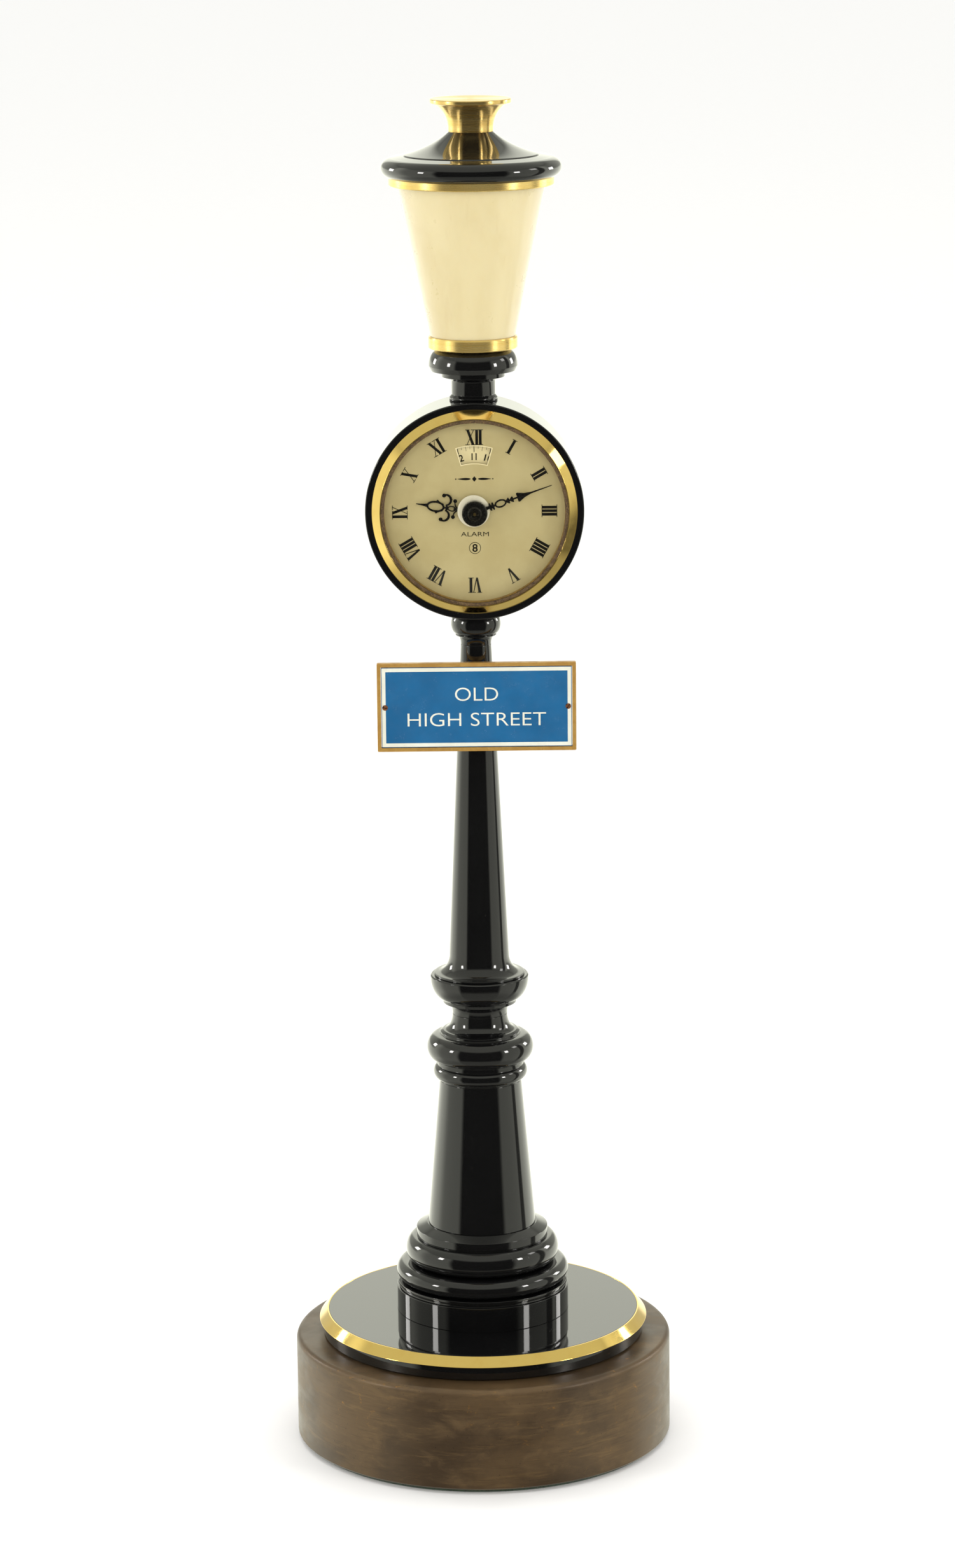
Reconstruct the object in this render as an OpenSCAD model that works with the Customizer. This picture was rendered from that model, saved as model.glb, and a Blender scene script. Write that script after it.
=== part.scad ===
// Table clock in the form of a street lamp post: a turned base and post carry a name plate,
// a round eight-day alarm clock and a lantern. Millimetres, +Z up, front towards -Y,
// origin at the centre of the underside.

/* [Base] */
// Thickness of the felt under the plinth
felt_h = 1; // [0.5:0.1:2]
// Radius of the plinth
plinth_r = 42.15; // [38:0.05:55]
// Height of the plinth
plinth_h = 22.9; // [15:0.1:32]
// Rounding of the plinth's top edge
plinth_edge = 1.3; // [0.4:0.1:2.5]
// Radius of the black base disc
base_r = 35.95; // [30:0.05:37]
// Height of the black base disc
base_h = 5.45; // [4:0.05:8]
// Slant width of the gilt ring, measured outwards
base_ring_w = 1.88; // [1:0.02:2.5]
// Height of the gilt ring
base_ring_h = 2.07; // [1.2:0.01:2.8]

/* [Post] */
// Largest radius of the pedestal
pedestal_r = 19.3; // [17:0.1:24]
// Height of the pedestal
pedestal_h = 20.1; // [16:0.1:25]
// Radius at the foot of the lower shaft
lower_shaft_r = 12.03; // [10:0.01:13.5]
// Height of the lower shaft
lower_shaft_h = 33.15; // [25:0.05:45]
// Radius at the top of the lower shaft
lower_top_r = 9.11; // [7.6:0.01:9.6]
// Largest radius of the knop
knop_r = 11.86; // [11:0.01:14.5]
// Height of the knop
knop_h = 15.3; // [13:0.1:19]
// Radius of the waist between the knop and the collar
waist_r = 6.1; // [5:0.1:7]
// Rim radius of the collar
collar_r = 10.9; // [10.6:0.1:13.5]
// Height of the collar
collar_h = 8.9; // [7.5:0.1:11]
// Radius at the foot of the upper shaft, above its flare
upper_shaft_r = 6.62; // [5.6:0.01:8]
// Radius at the top of the upper shaft
shaft_top_r = 3.35; // [2.9:0.01:4.1]
// Height of the upper shaft
upper_shaft_h = 74.7; // [60:0.1:92]
// Radius of the bead under the clock
top_bead_r = 5.45; // [4.9:0.01:5.55]
// Height of the collar under the clock
top_collar_h = 6.55; // [6:0.05:8]
// Radius of the tie rod in the post
tie_rod_r = 1.5; // [1:0.1:1.8]

/* [Name plate] */
// Width of the name plate over its frame
sign_w = 43.4; // [36:0.1:54]
// Height of the name plate over its frame
sign_h = 19.6; // [16:0.1:24]
// Width of the frame's border
sign_border = 0.83; // [0.5:0.01:1.4]
// Thickness of the enamel plate
sign_t = 1.2; // [0.8:0.1:2]
// Distance of the plate's face in front of the post's axis
sign_front = 8; // [7.2:0.1:10]
// Distance from the plate's top edge down from the clock's lowest point
sign_drop = 9.35; // [8:0.05:14]

/* [Clock case] */
// Wall of the case
case_wall = 1.75; // [1.2:0.05:2.4]
// Half of the case's depth
case_half = 7.6; // [7:0.1:9]
// Rounding of each edge of the case
case_edge = 0.35; // [0.2:0.05:0.6]
// Width of the case's rim round the bezel
case_rim_w = 1.35; // [0.7:0.05:1.6]
// Width and depth of the gilt bezel's slant
bezel_w = 2; // [1.4:0.1:2.4]
// Height of the crystal's dome above its flange
dome_h = 3.5; // [2.6:0.1:5]
// Thickness of the crystal
crystal_t = 0.8; // [0.6:0.1:1.1]
// Thickness of the back cover
cover_t = 0.8; // [0.6:0.1:1.2]

/* [Dial and hands] */
// Thickness of the dial
dial_t = 0.4; // [0.3:0.05:0.5]
// Outer radius of the alarm window
window_out = 14.2; // [13:0.1:14.6]
// Inner radius of the alarm window
window_in = 10.55; // [9.6:0.05:11.5]
// Half of the alarm window's angle
window_half = 15.3; // [12:0.1:20]
// Length of the minute hand from its centre
minute_hand_l = 17.7; // [14.8:0.1:17.9]
// Length of the hour hand from its centre
hour_hand_l = 12.8; // [10.6:0.1:15]
// Clockwise angle of the minute hand from XII
minute_angle = 70.8; // [0:0.1:360]
// Clockwise angle of the hour hand from XII
hour_angle = 278.8; // [0:0.1:360]
// Thickness of the hands
hand_t = 0.25; // [0.15:0.05:0.3]
// Radius of the cap that holds the hands
hub_r = 2.75; // [2:0.05:3]
// Height of the cap that holds the hands
hub_h = 2.5; // [1:0.1:2.8]

/* [Movement] */
// Tooth module of the barrels and of the motion work
tooth = 0.2; // [0.2:0.002:0.25]
// Thickness of the plates
plate_t = 1.2; // [0.9:0.1:1.3]
// Radius of the alarm setting knob
alarm_knob_r = 2.4; // [1.8:0.1:3]
// Radius of the time setting knob
time_knob_r = 3; // [2.4:0.1:3.6]
// Half of the width of a winding key
key_half = 5.2; // [4:0.1:6]
// Travel of the alarm stop button
stop_travel = 1.6; // [1:0.1:1.8]

/* [Lantern] */
// Radius of the neck above the clock
neck_r = 4.75; // [3.8:0.05:5.7]
// Largest radius of the lantern's cup
cup_r = 9.65; // [9.2:0.05:12]
// Height of the cup with its neck
cup_h = 11.05; // [10:0.05:14]
// Radius of the lower gilt ring
lower_ring_r = 9.63; // [9.25:0.01:12]
// Height of the lower gilt ring
lower_ring_h = 2.6; // [1.6:0.1:3.2]
// Radius of the shade at its foot
shade_foot_r = 9.2; // [7.6:0.1:9.2]
// Radius of the shade at its top
shade_top_r = 15.8; // [13:0.1:17.4]
// Height of the shade
shade_h = 32.5; // [27:0.1:40]
// Wall of the shade
shade_wall = 1; // [0.7:0.1:1.5]
// Radius of the upper gilt ring
upper_ring_r = 17.8; // [17.4:0.1:18]
// Height of the upper gilt ring
upper_ring_h = 2.4; // [1.8:0.1:3]
// Largest radius of the roof's brim
roof_r = 19.45; // [19.2:0.05:24]
// Height of the roof above the upper ring
roof_h = 8.9; // [7.6:0.1:11]
// Radius of the finial's rim
finial_r = 8.7; // [7.3:0.1:10.5]
// Radius of the finial's stem
finial_stem_r = 4.8; // [4:0.1:5.8]
// Height of the finial
finial_h = 7; // [5.8:0.1:8.5]
// Radius of the lantern's rod
lantern_rod_r = 1.25; // [1:0.05:1.5]

/* [Clearances] */
// Radial clearance of a rod or stem in its hole
slip = 0.1; // [0.05:0.01:0.15]
// Radial clearance of a turning arbor in its bearing
run = 0.03; // [0.02:0.01:0.05]
// Gap round the enamel plate in its frame
sign_gap = 0.08; // [0.05:0.01:0.15]

/* [Hidden] */
$fn = 64;

// Heights at which the stacked pieces meet, from the felt up
z_plinth = felt_h;
z_base = z_plinth + plinth_h;
z_pedestal = z_base + base_h;
z_lower = z_pedestal + pedestal_h;
z_knop = z_lower + lower_shaft_h;
z_collar = z_knop + knop_h;
z_upper = z_collar + collar_h;
z_top_collar = z_upper + upper_shaft_h;
z_case = z_top_collar + top_collar_h;

// Wheel layout, seen from the front round the clock's centre: x to the right, y up
fine = 0.75 * tooth;          // module of the going train
finest = 0.6 * tooth;         // module of the fourth wheel
hour_tooth = 0.96 * tooth;    // module of the hour wheel and its pinion
BARREL_N = 80;   BARREL_PINION_N = 10;
INTER_N = 60;    CENTRE_PINION_N = 12;
CENTRE_N = 64;   THIRD_PINION_N = 8;
THIRD_N = 60;    FOURTH_PINION_N = 8;
FOURTH_N = 70;   ESCAPE_PINION_N = 7;
CANNON_N = 12;   MINUTE_N = 36;
MINUTE_PINION_N = 10;  HOUR_N = 40;
ALARM_N = 72;    ALARM_PINION_N = 12;
CENTRE = [0, 0];
barrel_x = 47.5 * tooth;
barrel_y = -25 * tooth;
TIME_BARREL = [-barrel_x, barrel_y];
ALARM_BARREL = [barrel_x, barrel_y];
INTER = meet(TIME_BARREL, reach(tooth, BARREL_N, BARREL_PINION_N),
             CENTRE, reach(fine, INTER_N, CENTRE_PINION_N));
THIRD = polar(CENTRE, reach(fine, CENTRE_N, THIRD_PINION_N), 90);
FOURTH = polar(THIRD, reach(fine, THIRD_N, FOURTH_PINION_N), 30);
ESCAPE = polar(FOURTH, reach(finest, FOURTH_N, ESCAPE_PINION_N), 105);
MINUTE = polar(CENTRE, reach(tooth, CANNON_N, MINUTE_N), 0);
ALARM_STEM = polar(CENTRE, reach(tooth, ALARM_N, ALARM_PINION_N), 270);
STRIKE = polar(ALARM_BARREL, reach(tooth, BARREL_N, BARREL_PINION_N), 100);
BALANCE = [-27.5, 55] * tooth;
lever_aim = heading(ESCAPE, BALANCE);
PALLET = polar(ESCAPE, 16 * tooth, lever_aim);
HAMMER = [85, 20] * tooth;
STOP = [60, 47.5] * tooth;
escape_r = 13 * tooth;
balance_r = 22.5 * tooth;
strike_r = 15 * tooth;
barrel_wall_r = 38 * tooth;
pinion_arbor_r = 1.5 * tooth;
centre_arbor_r = 0.35;
winding_arbor_r = 0.9;
stem_r = 0.5;
pivot_r = 0.2;
winding_pivot_r = 0.5;

// Radii of the case and of what fits inside it, outwards from the barrels' teeth
plate_r = norm(TIME_BARREL) + tip_r(tooth, BARREL_N) + 0.38;
plate_gap = 2.7;
case_in = plate_r + plate_gap;
head_r = case_in + case_wall;
head_z = z_case + head_r;
z_cup = head_z + head_r;
z_lower_ring = z_cup + cup_h;
z_shade = z_lower_ring + lower_ring_h;
z_upper_ring = z_shade + shade_h;
z_roof = z_upper_ring + upper_ring_h;
z_finial = z_roof + roof_h;
case_rim_r = head_r - case_rim_w;
bezel_in = case_rim_r - bezel_w;
flange_in = bezel_in - 0.8;
fit = 0.05;
crystal_r = bezel_in - fit;

// Depths in the clock, in front of the centre of the case (behind it when negative)
case_front = case_half;
bezel_front = case_front + bezel_w;
gasket_front = bezel_front - 0.25;
gasket_back = gasket_front - 0.45;
flange_front = gasket_back - 0.6;
dial_front = flange_front - 1.7;
dial_back = dial_front - dial_t;
disc_front = dial_back - 0.35;
disc_t = 0.35;
alarm_teeth_t = 0.45;
plate_front = 3.2;
plate_back = plate_front - plate_t;
rear_front = -3.8;
rear_back = rear_front - plate_t;
cover_front = -case_front;
cover_back = cover_front - cover_t;
hour_hand_back = dial_front + 0.6;
minute_hand_back = hour_hand_back + hand_t + 0.6;
minute_hand_front = minute_hand_back + hand_t;
knob_gap = 1;
cannon_r = 3 * tooth;
hour_pipe_r = cannon_r + run + 0.32;
minute_stud_r = 2 * tooth;
feet_circle = window_out + 3.3;
pillar_circle = plate_r - 1.8;
PILLARS = [62, 150, 270];
POSTS = [20, 180, 300];
FEET = [0, 120, 240];
pillar_body_r = 1.2;
screw_r = 0.6;
screw_head_r = 1;
screw_head_h = 0.5;
cock_angle = 225;
COCK_FOOT = polar(BALANCE, balance_r + 2, cock_angle);
cock_front = rear_back - 0.9;
cock_t = 0.7;

// Points and outlines
function polar(c, r, a) = c + r * [cos(a), sin(a)];
function heading(a, b) = atan2(b[1] - a[1], b[0] - a[0]);
function arc(c, rx, ry, a0, a1, n = 8) =
  [for (i = [0:n]) let (a = a0 + (a1 - a0) * i / n) c + [rx * cos(a), ry * sin(a)]];
function sweep3(p, q, s, n = 8) =
  [for (i = [0:n]) let (t = i / n) (1 - t) * (1 - t) * p + 2 * t * (1 - t) * q + t * t * s];
function meet(a, ra, b, rb) =
  let (d = norm(b - a), along = (ra * ra - rb * rb + d * d) / (2 * d), u = (b - a) / d)
  a + along * u + sqrt(ra * ra - along * along) * [-u[1], u[0]];
function shaft_r_at(z) =
  upper_shaft_r + (shaft_top_r - upper_shaft_r) * (z - z_upper - flare_h)
  / (upper_shaft_h - flare_h);

// Gears: m is the module, n the number of teeth
function pitch_r(m, n) = m * n / 2;
function reach(m, n1, n2) = m * (n1 + n2) / 2;
function tip_r(m, n) = pitch_r(m, n) + 0.8 * m;
function root_r(m, n) = pitch_r(m, n) - 1.1 * m;
function meshed(from, to, n_from, turn, n_to) =
  let (a = heading(from, to)) a + 180 + 180 / n_to - (turn - a) * n_from / n_to;
function teeth(m, n) =
  [for (i = [0:n - 1]) each [
    polar([0, 0], root_r(m, n), (i - 0.27) * 360 / n),
    polar([0, 0], tip_r(m, n), (i - 0.10) * 360 / n),
    polar([0, 0], tip_r(m, n), (i + 0.10) * 360 / n),
    polar([0, 0], root_r(m, n), (i + 0.27) * 360 / n)]];

// Turns of each wheel that put its teeth in its neighbour's gaps
barrel_turn = 0;
inter_pinion_turn = meshed(TIME_BARREL, INTER, BARREL_N, barrel_turn, BARREL_PINION_N);
centre_pinion_turn = meshed(INTER, CENTRE, INTER_N, 0, CENTRE_PINION_N);
third_pinion_turn = meshed(CENTRE, THIRD, CENTRE_N, 0, THIRD_PINION_N);
fourth_pinion_turn = meshed(THIRD, FOURTH, THIRD_N, 0, FOURTH_PINION_N);
escape_pinion_turn = meshed(FOURTH, ESCAPE, FOURTH_N, 0, ESCAPE_PINION_N);
minute_wheel_turn = meshed(CENTRE, MINUTE, CANNON_N, 0, MINUTE_N);
hour_wheel_turn = meshed(MINUTE, CENTRE, MINUTE_PINION_N, 0, HOUR_N);
strike_pinion_turn = meshed(ALARM_BARREL, STRIKE, BARREL_N, 0, BARREL_PINION_N);
alarm_pinion_turn = meshed(CENTRE, ALARM_STEM, ALARM_N, 0, ALARM_PINION_N);

// Turned pieces are lathe outlines, from the foot up, round a bore
flare_h = 4.7;
module turned(z, outline, bore) {
  top = outline[len(outline) - 1][1];
  translate([0, 0, z]) rotate_extrude()
    polygon(concat([[bore, outline[0][1]]], outline, [[bore, top]]));
}
module in_head(at = [0, 0]) {
  translate([0, 0, head_z]) rotate([90, 0, 0]) translate([at[0], at[1], 0]) children();
}
module rod(r, from, to) {
  translate([0, 0, from]) cylinder(r = r, h = to - from);
}
module hole(at, r) {
  translate([at[0], at[1], -50]) cylinder(r = r, h = 100);
}
module gear(m, n, turn, from, to, bore = 0) {
  rotate([0, 0, turn]) translate([0, 0, from]) linear_extrude(to - from) difference() {
    polygon(teeth(m, n));
    if (bore > 0) circle(r = bore);
  }
}
module arbor(r, front_pivot, rear_pivot) {
  rod(r, rear_front + 0.1, plate_back - 0.1);
  rod(front_pivot, plate_back - 0.2, plate_front - 0.1);
  rod(rear_pivot, rear_back + 0.1, rear_front + 0.2);
}
module case_cylinder() {
  translate([0, 0, head_z]) rotate([90, 0, 0])
    translate([0, 0, -head_r]) cylinder(r = head_r, h = 2 * head_r);
}

// Base
nut_pocket_r = 7;
nut_pocket_h = 7;
washer_t = 0.8;
nut_h = 2.2;
rod_hole = tie_rod_r + slip;
module felt_pad() {
  color("darkgreen") cylinder(r = plinth_r - 1.6, h = felt_h);
}
module plinth() {
  color("#4e3d2a") difference() {
    turned(z_plinth, concat([[plinth_r - 0.4, 0], [plinth_r, 0.4]],
      arc([plinth_r - plinth_edge, plinth_h - plinth_edge], plinth_edge, plinth_edge, 0, 90)),
      rod_hole);
    translate([0, 0, z_plinth]) rod(nut_pocket_r, -1, nut_pocket_h);
  }
}
ring_seat_r = base_r + 1.01 - base_ring_w - 0.28;
module base_disc() {
  color("#141414") turned(z_base, [
    [base_r - 0.7, 0], [base_r - 0.7, 0.35], [base_r, 0.35],
    [base_r, base_h - base_ring_h], [ring_seat_r, base_h - base_ring_h],
    [ring_seat_r, base_h]], rod_hole);
}
module base_ring() {
  color("goldenrod") turned(z_pedestal - base_ring_h, [
    [ring_seat_r + base_ring_w + 0.28, 0], [ring_seat_r + 0.28, base_ring_h]], ring_seat_r);
}

// Post
module pedestal() {
  bead_1 = (pedestal_h - 7) * 0.16;
  bead_2 = (pedestal_h - 7) * 0.222;
  z1 = 7;
  z2 = z1 + 2 * bead_1;
  z3 = z2 + 2 * bead_2;
  color("#141414") turned(z_pedestal, concat(
    [[pedestal_r, 0], [pedestal_r, 5.5], [pedestal_r - 0.6, 5.6], [pedestal_r - 0.6, 6.1],
     [pedestal_r - 0.2, 6.2], [pedestal_r - 0.2, 6.9]],
    arc([pedestal_r - 2.1, z1 + bead_1], 2.1, bead_1, -90, 90),
    arc([pedestal_r - 4.3, z2 + bead_2], 2.1, bead_2, -90, 90),
    [[pedestal_r - 4.9, z3], [pedestal_r - 4.6, z3 + 0.3],
     [pedestal_r - 4.6, pedestal_h - 1.1], [lower_shaft_r + 0.3, pedestal_h]]), rod_hole);
}
module lower_shaft() {
  color("#141414") turned(z_lower,
    [[lower_shaft_r, 0], [lower_top_r, lower_shaft_h]], rod_hole);
}
module knop() {
  ring_half = 1.65;
  bead_half = 3;
  bead_z = 2 * ring_half + 1.3 + bead_half;
  color("#141414") turned(z_knop, concat(
    [[lower_top_r, 0], [lower_top_r, 0.35]],
    arc([lower_top_r, 0.35 + ring_half], 1.35, ring_half, -60, 70),
    [[lower_top_r + 0.4, 4.5]],
    arc([knop_r - 2.36, bead_z], 2.36, bead_half, -80, 90),
    [[knop_r - 2.9, bead_z + bead_half + 0.1], [knop_r - 3, bead_z + bead_half + 0.6]],
    arc([waist_r + 2.1, knop_h], 2.1, knop_h - bead_z - bead_half - 1, 270, 180)), rod_hole);
}
module upper_collar() {
  bowl_h = collar_h - 0.7;
  color("#141414") turned(z_collar, concat(
    arc([waist_r + 1.5, 0], 1.5, 2.6, 180, 90),
    [[waist_r + 2.1, 2.6], [waist_r + 2.2, 3.3]],
    arc([collar_r - 3.5, bowl_h], 3.5, bowl_h - 3.2, -68, 0),
    [[collar_r, collar_h - 0.25], [collar_r - 0.25, collar_h]]), rod_hole);
}
module upper_shaft() {
  flare_r = upper_shaft_r + 2.98;
  color("#141414") turned(z_upper, concat(
    [[flare_r + 0.45, 0], [flare_r + 0.45, 0.5]],
    arc([flare_r, flare_h], 2.98, flare_h - 0.6, 270, 180, 10),
    [[shaft_top_r, upper_shaft_h]]), rod_hole);
}
module top_collar() {
  lip = shaft_top_r + 1.15;
  bead_z = top_collar_h - 2.05;
  color("#141414") difference() {
    turned(z_top_collar, concat(
      arc([lip - 0.15, 0], 1, 2, 180, 90),
      [[lip, 2], [lip, 2.35]],
      arc([top_bead_r - 1.15, bead_z], 1.15, bead_z - 2.4, -90, 0),
      arc([top_bead_r - 1.15, bead_z], 1.15, 2.1, 10, 90),
      [[top_bead_r - 1.15, top_collar_h + 1.5]]), rod_hole);
    case_cylinder();
  }
}
module tie_rod() {
  color("silver") rod(tie_rod_r, z_plinth + 2.4, z_case + case_wall + 0.2 + nut_h + 0.2);
}
module nut(across, r, z) {
  translate([0, 0, z]) difference() {
    cylinder(r = across / 2 / cos(30), h = nut_h, $fn = 6);
    translate([0, 0, -1]) cylinder(r = r, h = nut_h + 2);
  }
}
module rod_nuts() {
  seat_z = z_plinth + nut_pocket_h - washer_t;
  color("silver") {
    turned(seat_z, [[5, 0], [5, washer_t]], tie_rod_r);
    nut(5.5, tie_rod_r, seat_z - nut_h);
    nut(4.6, tie_rod_r, z_case + case_wall + 0.2);
    nut(4.6, lantern_rod_r, z_cup - case_wall - 0.2 - nut_h);
  }
}

// Name plate
sign_top = z_case - sign_drop;
sign_mid = sign_top - sign_h / 2;
sign_back = -sign_front + sign_t;
sign_screw_x = sign_w / 2 - sign_border - 0.9;
sign_screw_r = 0.35;
module plate_box(w, h, front, back) {
  translate([-w / 2, front, sign_mid - h / 2]) cube([w, back - front, h]);
}
module sign_holes(r) {
  for (side = [-1, 1]) translate([side * sign_screw_x, 0, sign_mid]) rotate([90, 0, 0])
    cylinder(r = r, h = 20);
}
module sign_bracket() {
  clasp_h = 5;
  bar_t = 1.2;
  color("#1c1c1c") {
    difference() {
      union() {
        plate_box(2 * sign_screw_x + 1.4, 3.4, sign_back, sign_back + bar_t);
        plate_box(4.4, 3.4, sign_back + bar_t / 2, -3);
        translate([0, 0, sign_mid - clasp_h / 2])
          cylinder(r = shaft_r_at(sign_mid) + 1.3, h = clasp_h);
      }
      translate([0, 0, sign_mid - 8])
        cylinder(r1 = shaft_r_at(sign_mid - 8), r2 = shaft_r_at(sign_mid + 8), h = 16);
      sign_holes(sign_screw_r);
    }
  }
}
module sign_frame() {
  color("#c8963c") difference() {
    plate_box(sign_w, sign_h, -sign_front - 0.2, sign_back + 0.2);
    plate_box(sign_w - 2 * sign_border, sign_h - 2 * sign_border, -20, 0);
  }
  // Lugs behind the plate hold it in the frame
  color("#c8963c") for (side = [-1, 1]) for (lug_z = [-1, 1])
    translate([side * sign_w / 4 - 2, sign_back, sign_mid + lug_z * (sign_h / 2 - 1.7) - 1])
      cube([4, 0.4, 2]);
}
module sign_plate() {
  inset = 2 * (sign_border + sign_gap);
  color("#2a6a9b") difference() {
    plate_box(sign_w - inset, sign_h - inset, -sign_front, sign_back);
    sign_holes(sign_screw_r);
  }
}
module sign_screws() {
  color("#7a4a2a") for (side = [-1, 1])
    translate([side * sign_screw_x, sign_back + 1.1, sign_mid]) rotate([90, 0, 0]) {
      cylinder(r = sign_screw_r, h = sign_t + 1.2);
      translate([0, 0, sign_t + 1.1]) cylinder(r = 0.6, h = 0.35);
    }
}

// Clock case: lathe outlines here run along the clock's depth, front upwards
module case_drum() {
  color("#141414") difference() {
    in_head() rotate_extrude() polygon(concat(
      [[case_in, -case_front]],
      arc([head_r - case_edge, case_edge - case_front], case_edge, case_edge, -90, 0),
      arc([head_r - case_edge, case_front - case_edge], case_edge, case_edge, 0, 90),
      [[case_in, case_front]]));
    translate([0, 0, z_case - 1]) cylinder(r = rod_hole, h = case_wall + 3);
    translate([0, 0, z_cup - case_wall - 2]) cylinder(r = lantern_rod_r + slip, h = case_wall + 3);
  }
}
module bezel() {
  color("gold") in_head() rotate_extrude() polygon([
    [bezel_in, bezel_front], [bezel_in + 0.15, bezel_front], [case_rim_r, case_front],
    [case_in, case_front], [case_in, case_front - 1.8], [bezel_in, case_front - 1.8]]);
}
module crystal_gasket() {
  color("#6a4a30") in_head() rotate_extrude()
    translate([flange_in, gasket_back]) square([bezel_in - flange_in, gasket_front - gasket_back]);
}
module crystal() {
  foot = flange_in - fit;
  flange_back = flange_front;
  sphere_r = (foot * foot + dome_h * dome_h) / (2 * dome_h);
  sphere_z = gasket_back + dome_h - sphere_r;
  inner_r = sphere_r - crystal_t;
  outer_a = asin(foot / sphere_r);
  inner_a = acos((flange_back - sphere_z) / inner_r);
  color("lightcyan", 0.3) in_head() rotate_extrude() polygon(concat(
    [[crystal_r, flange_back], [crystal_r, gasket_back]],
    arc([0, sphere_z], sphere_r, sphere_r, 90 - outer_a, 90, 12),
    arc([0, sphere_z], inner_r, inner_r, 90, 90 - inner_a, 12)));
}
module dial_flange() {
  color("#8a6a3a") in_head() rotate_extrude()
    translate([flange_in, dial_front]) square([crystal_r - flange_in, flange_front - dial_front]);
}
module window_outline() {
  n = 10;
  polygon(concat(
    arc([0, 0], window_out, window_out, 90 - window_half, 90 + window_half, n),
    arc([0, 0], window_in, window_in, 90 + window_half, 90 - window_half, n)));
}
module dial() {
  color("#d8c487") in_head() {
    translate([0, 0, dial_back]) linear_extrude(dial_t) difference() {
      circle(r = crystal_r);
      circle(r = hour_pipe_r + 0.35);
      window_outline();
    }
    for (a = FEET) translate(polar([0, 0], feet_circle, a))
      rod(screw_r, plate_front - 1, dial_back + 0.1);
  }
}

// Movement plates and what holds them
module front_plate() {
  color("#c9a94e") in_head() {
    difference() {
      rod(plate_r, plate_back, plate_front);
      for (a = FEET) hole(polar([0, 0], feet_circle, a), screw_r);
      for (a = PILLARS) hole(polar([0, 0], pillar_circle, a), screw_r);
      for (at = [INTER, THIRD, FOURTH, ESCAPE, PALLET, BALANCE, STRIKE, HAMMER])
        hole(at, pivot_r + run);
      for (at = [TIME_BARREL, ALARM_BARREL]) hole(at, winding_pivot_r + run);
      hole(CENTRE, centre_arbor_r + run);
      hole(ALARM_STEM, stem_r + run);
    }
    translate(MINUTE) rod(minute_stud_r, plate_front - 0.1, dial_back - 1.4);
  }
}
module back_plate() {
  color("#c9a94e") in_head() difference() {
    rod(plate_r, rear_back, rear_front);
    for (a = PILLARS) hole(polar([0, 0], pillar_circle, a), screw_r);
    for (a = POSTS) hole(polar([0, 0], pillar_circle, a), screw_r);
    hole(COCK_FOOT, screw_r);
    for (at = [INTER, THIRD, FOURTH, ESCAPE, PALLET, STRIKE, HAMMER]) hole(at, pivot_r + run);
    for (at = [TIME_BARREL, ALARM_BARREL]) hole(at, winding_arbor_r + run);
    hole(BALANCE, balance_r + 0.6);
    hole(CENTRE, centre_arbor_r + run);
    hole(ALARM_STEM, stem_r + run);
  }
}
module pillars() {
  color("#c9a94e") in_head() {
    for (a = PILLARS) translate(polar([0, 0], pillar_circle, a)) difference() {
      union() {
        rod(pillar_body_r, rear_front, plate_back);
        rod(screw_r, plate_back - 0.1, plate_front);
      }
      rod(screw_r, rear_front - 1, rear_front + 1.5);
    }
    for (a = POSTS) translate(polar([0, 0], pillar_circle, a)) difference() {
      union() {
        rod(pillar_body_r, cover_front, rear_back);
        rod(screw_r, rear_back - 0.1, rear_front);
      }
      rod(screw_r, cover_front - 1, cover_front + 1.2);
    }
  }
}
module screw(at, seat, length) {
  translate([at[0], at[1], 0]) difference() {
    union() {
      rod(screw_head_r, seat - screw_head_h, seat);
      rod(screw_r, seat - 0.1, seat + length);
    }
    translate([-0.12, -screw_head_r - 1, seat - screw_head_h - 1])
      cube([0.24, 2 * screw_head_r + 2, 1.2]);
  }
}
module movement_screws() {
  color("steelblue") in_head() {
    for (a = PILLARS) screw(polar([0, 0], pillar_circle, a), rear_back, plate_t + 1.5);
    for (a = POSTS) screw(polar([0, 0], pillar_circle, a), cover_back, cover_t + 1.2);
    screw(COCK_FOOT, cock_front - cock_t, cock_t + rear_front - cock_front);
  }
}
module back_cover() {
  color("#141414") in_head() difference() {
    rotate_extrude() polygon([
      [0, cover_back], [case_rim_r - 0.3, cover_back], [case_rim_r, cover_back + 0.3],
      [case_rim_r, cover_front], [0, cover_front]]);
    for (a = POSTS) hole(polar([0, 0], pillar_circle, a), screw_r);
    for (at = [TIME_BARREL, ALARM_BARREL]) hole(at, winding_arbor_r + slip);
    hole(CENTRE, centre_arbor_r + slip);
    hole(ALARM_STEM, stem_r + slip);
    hole(STOP, stop_r + fit);
  }
}

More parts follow.
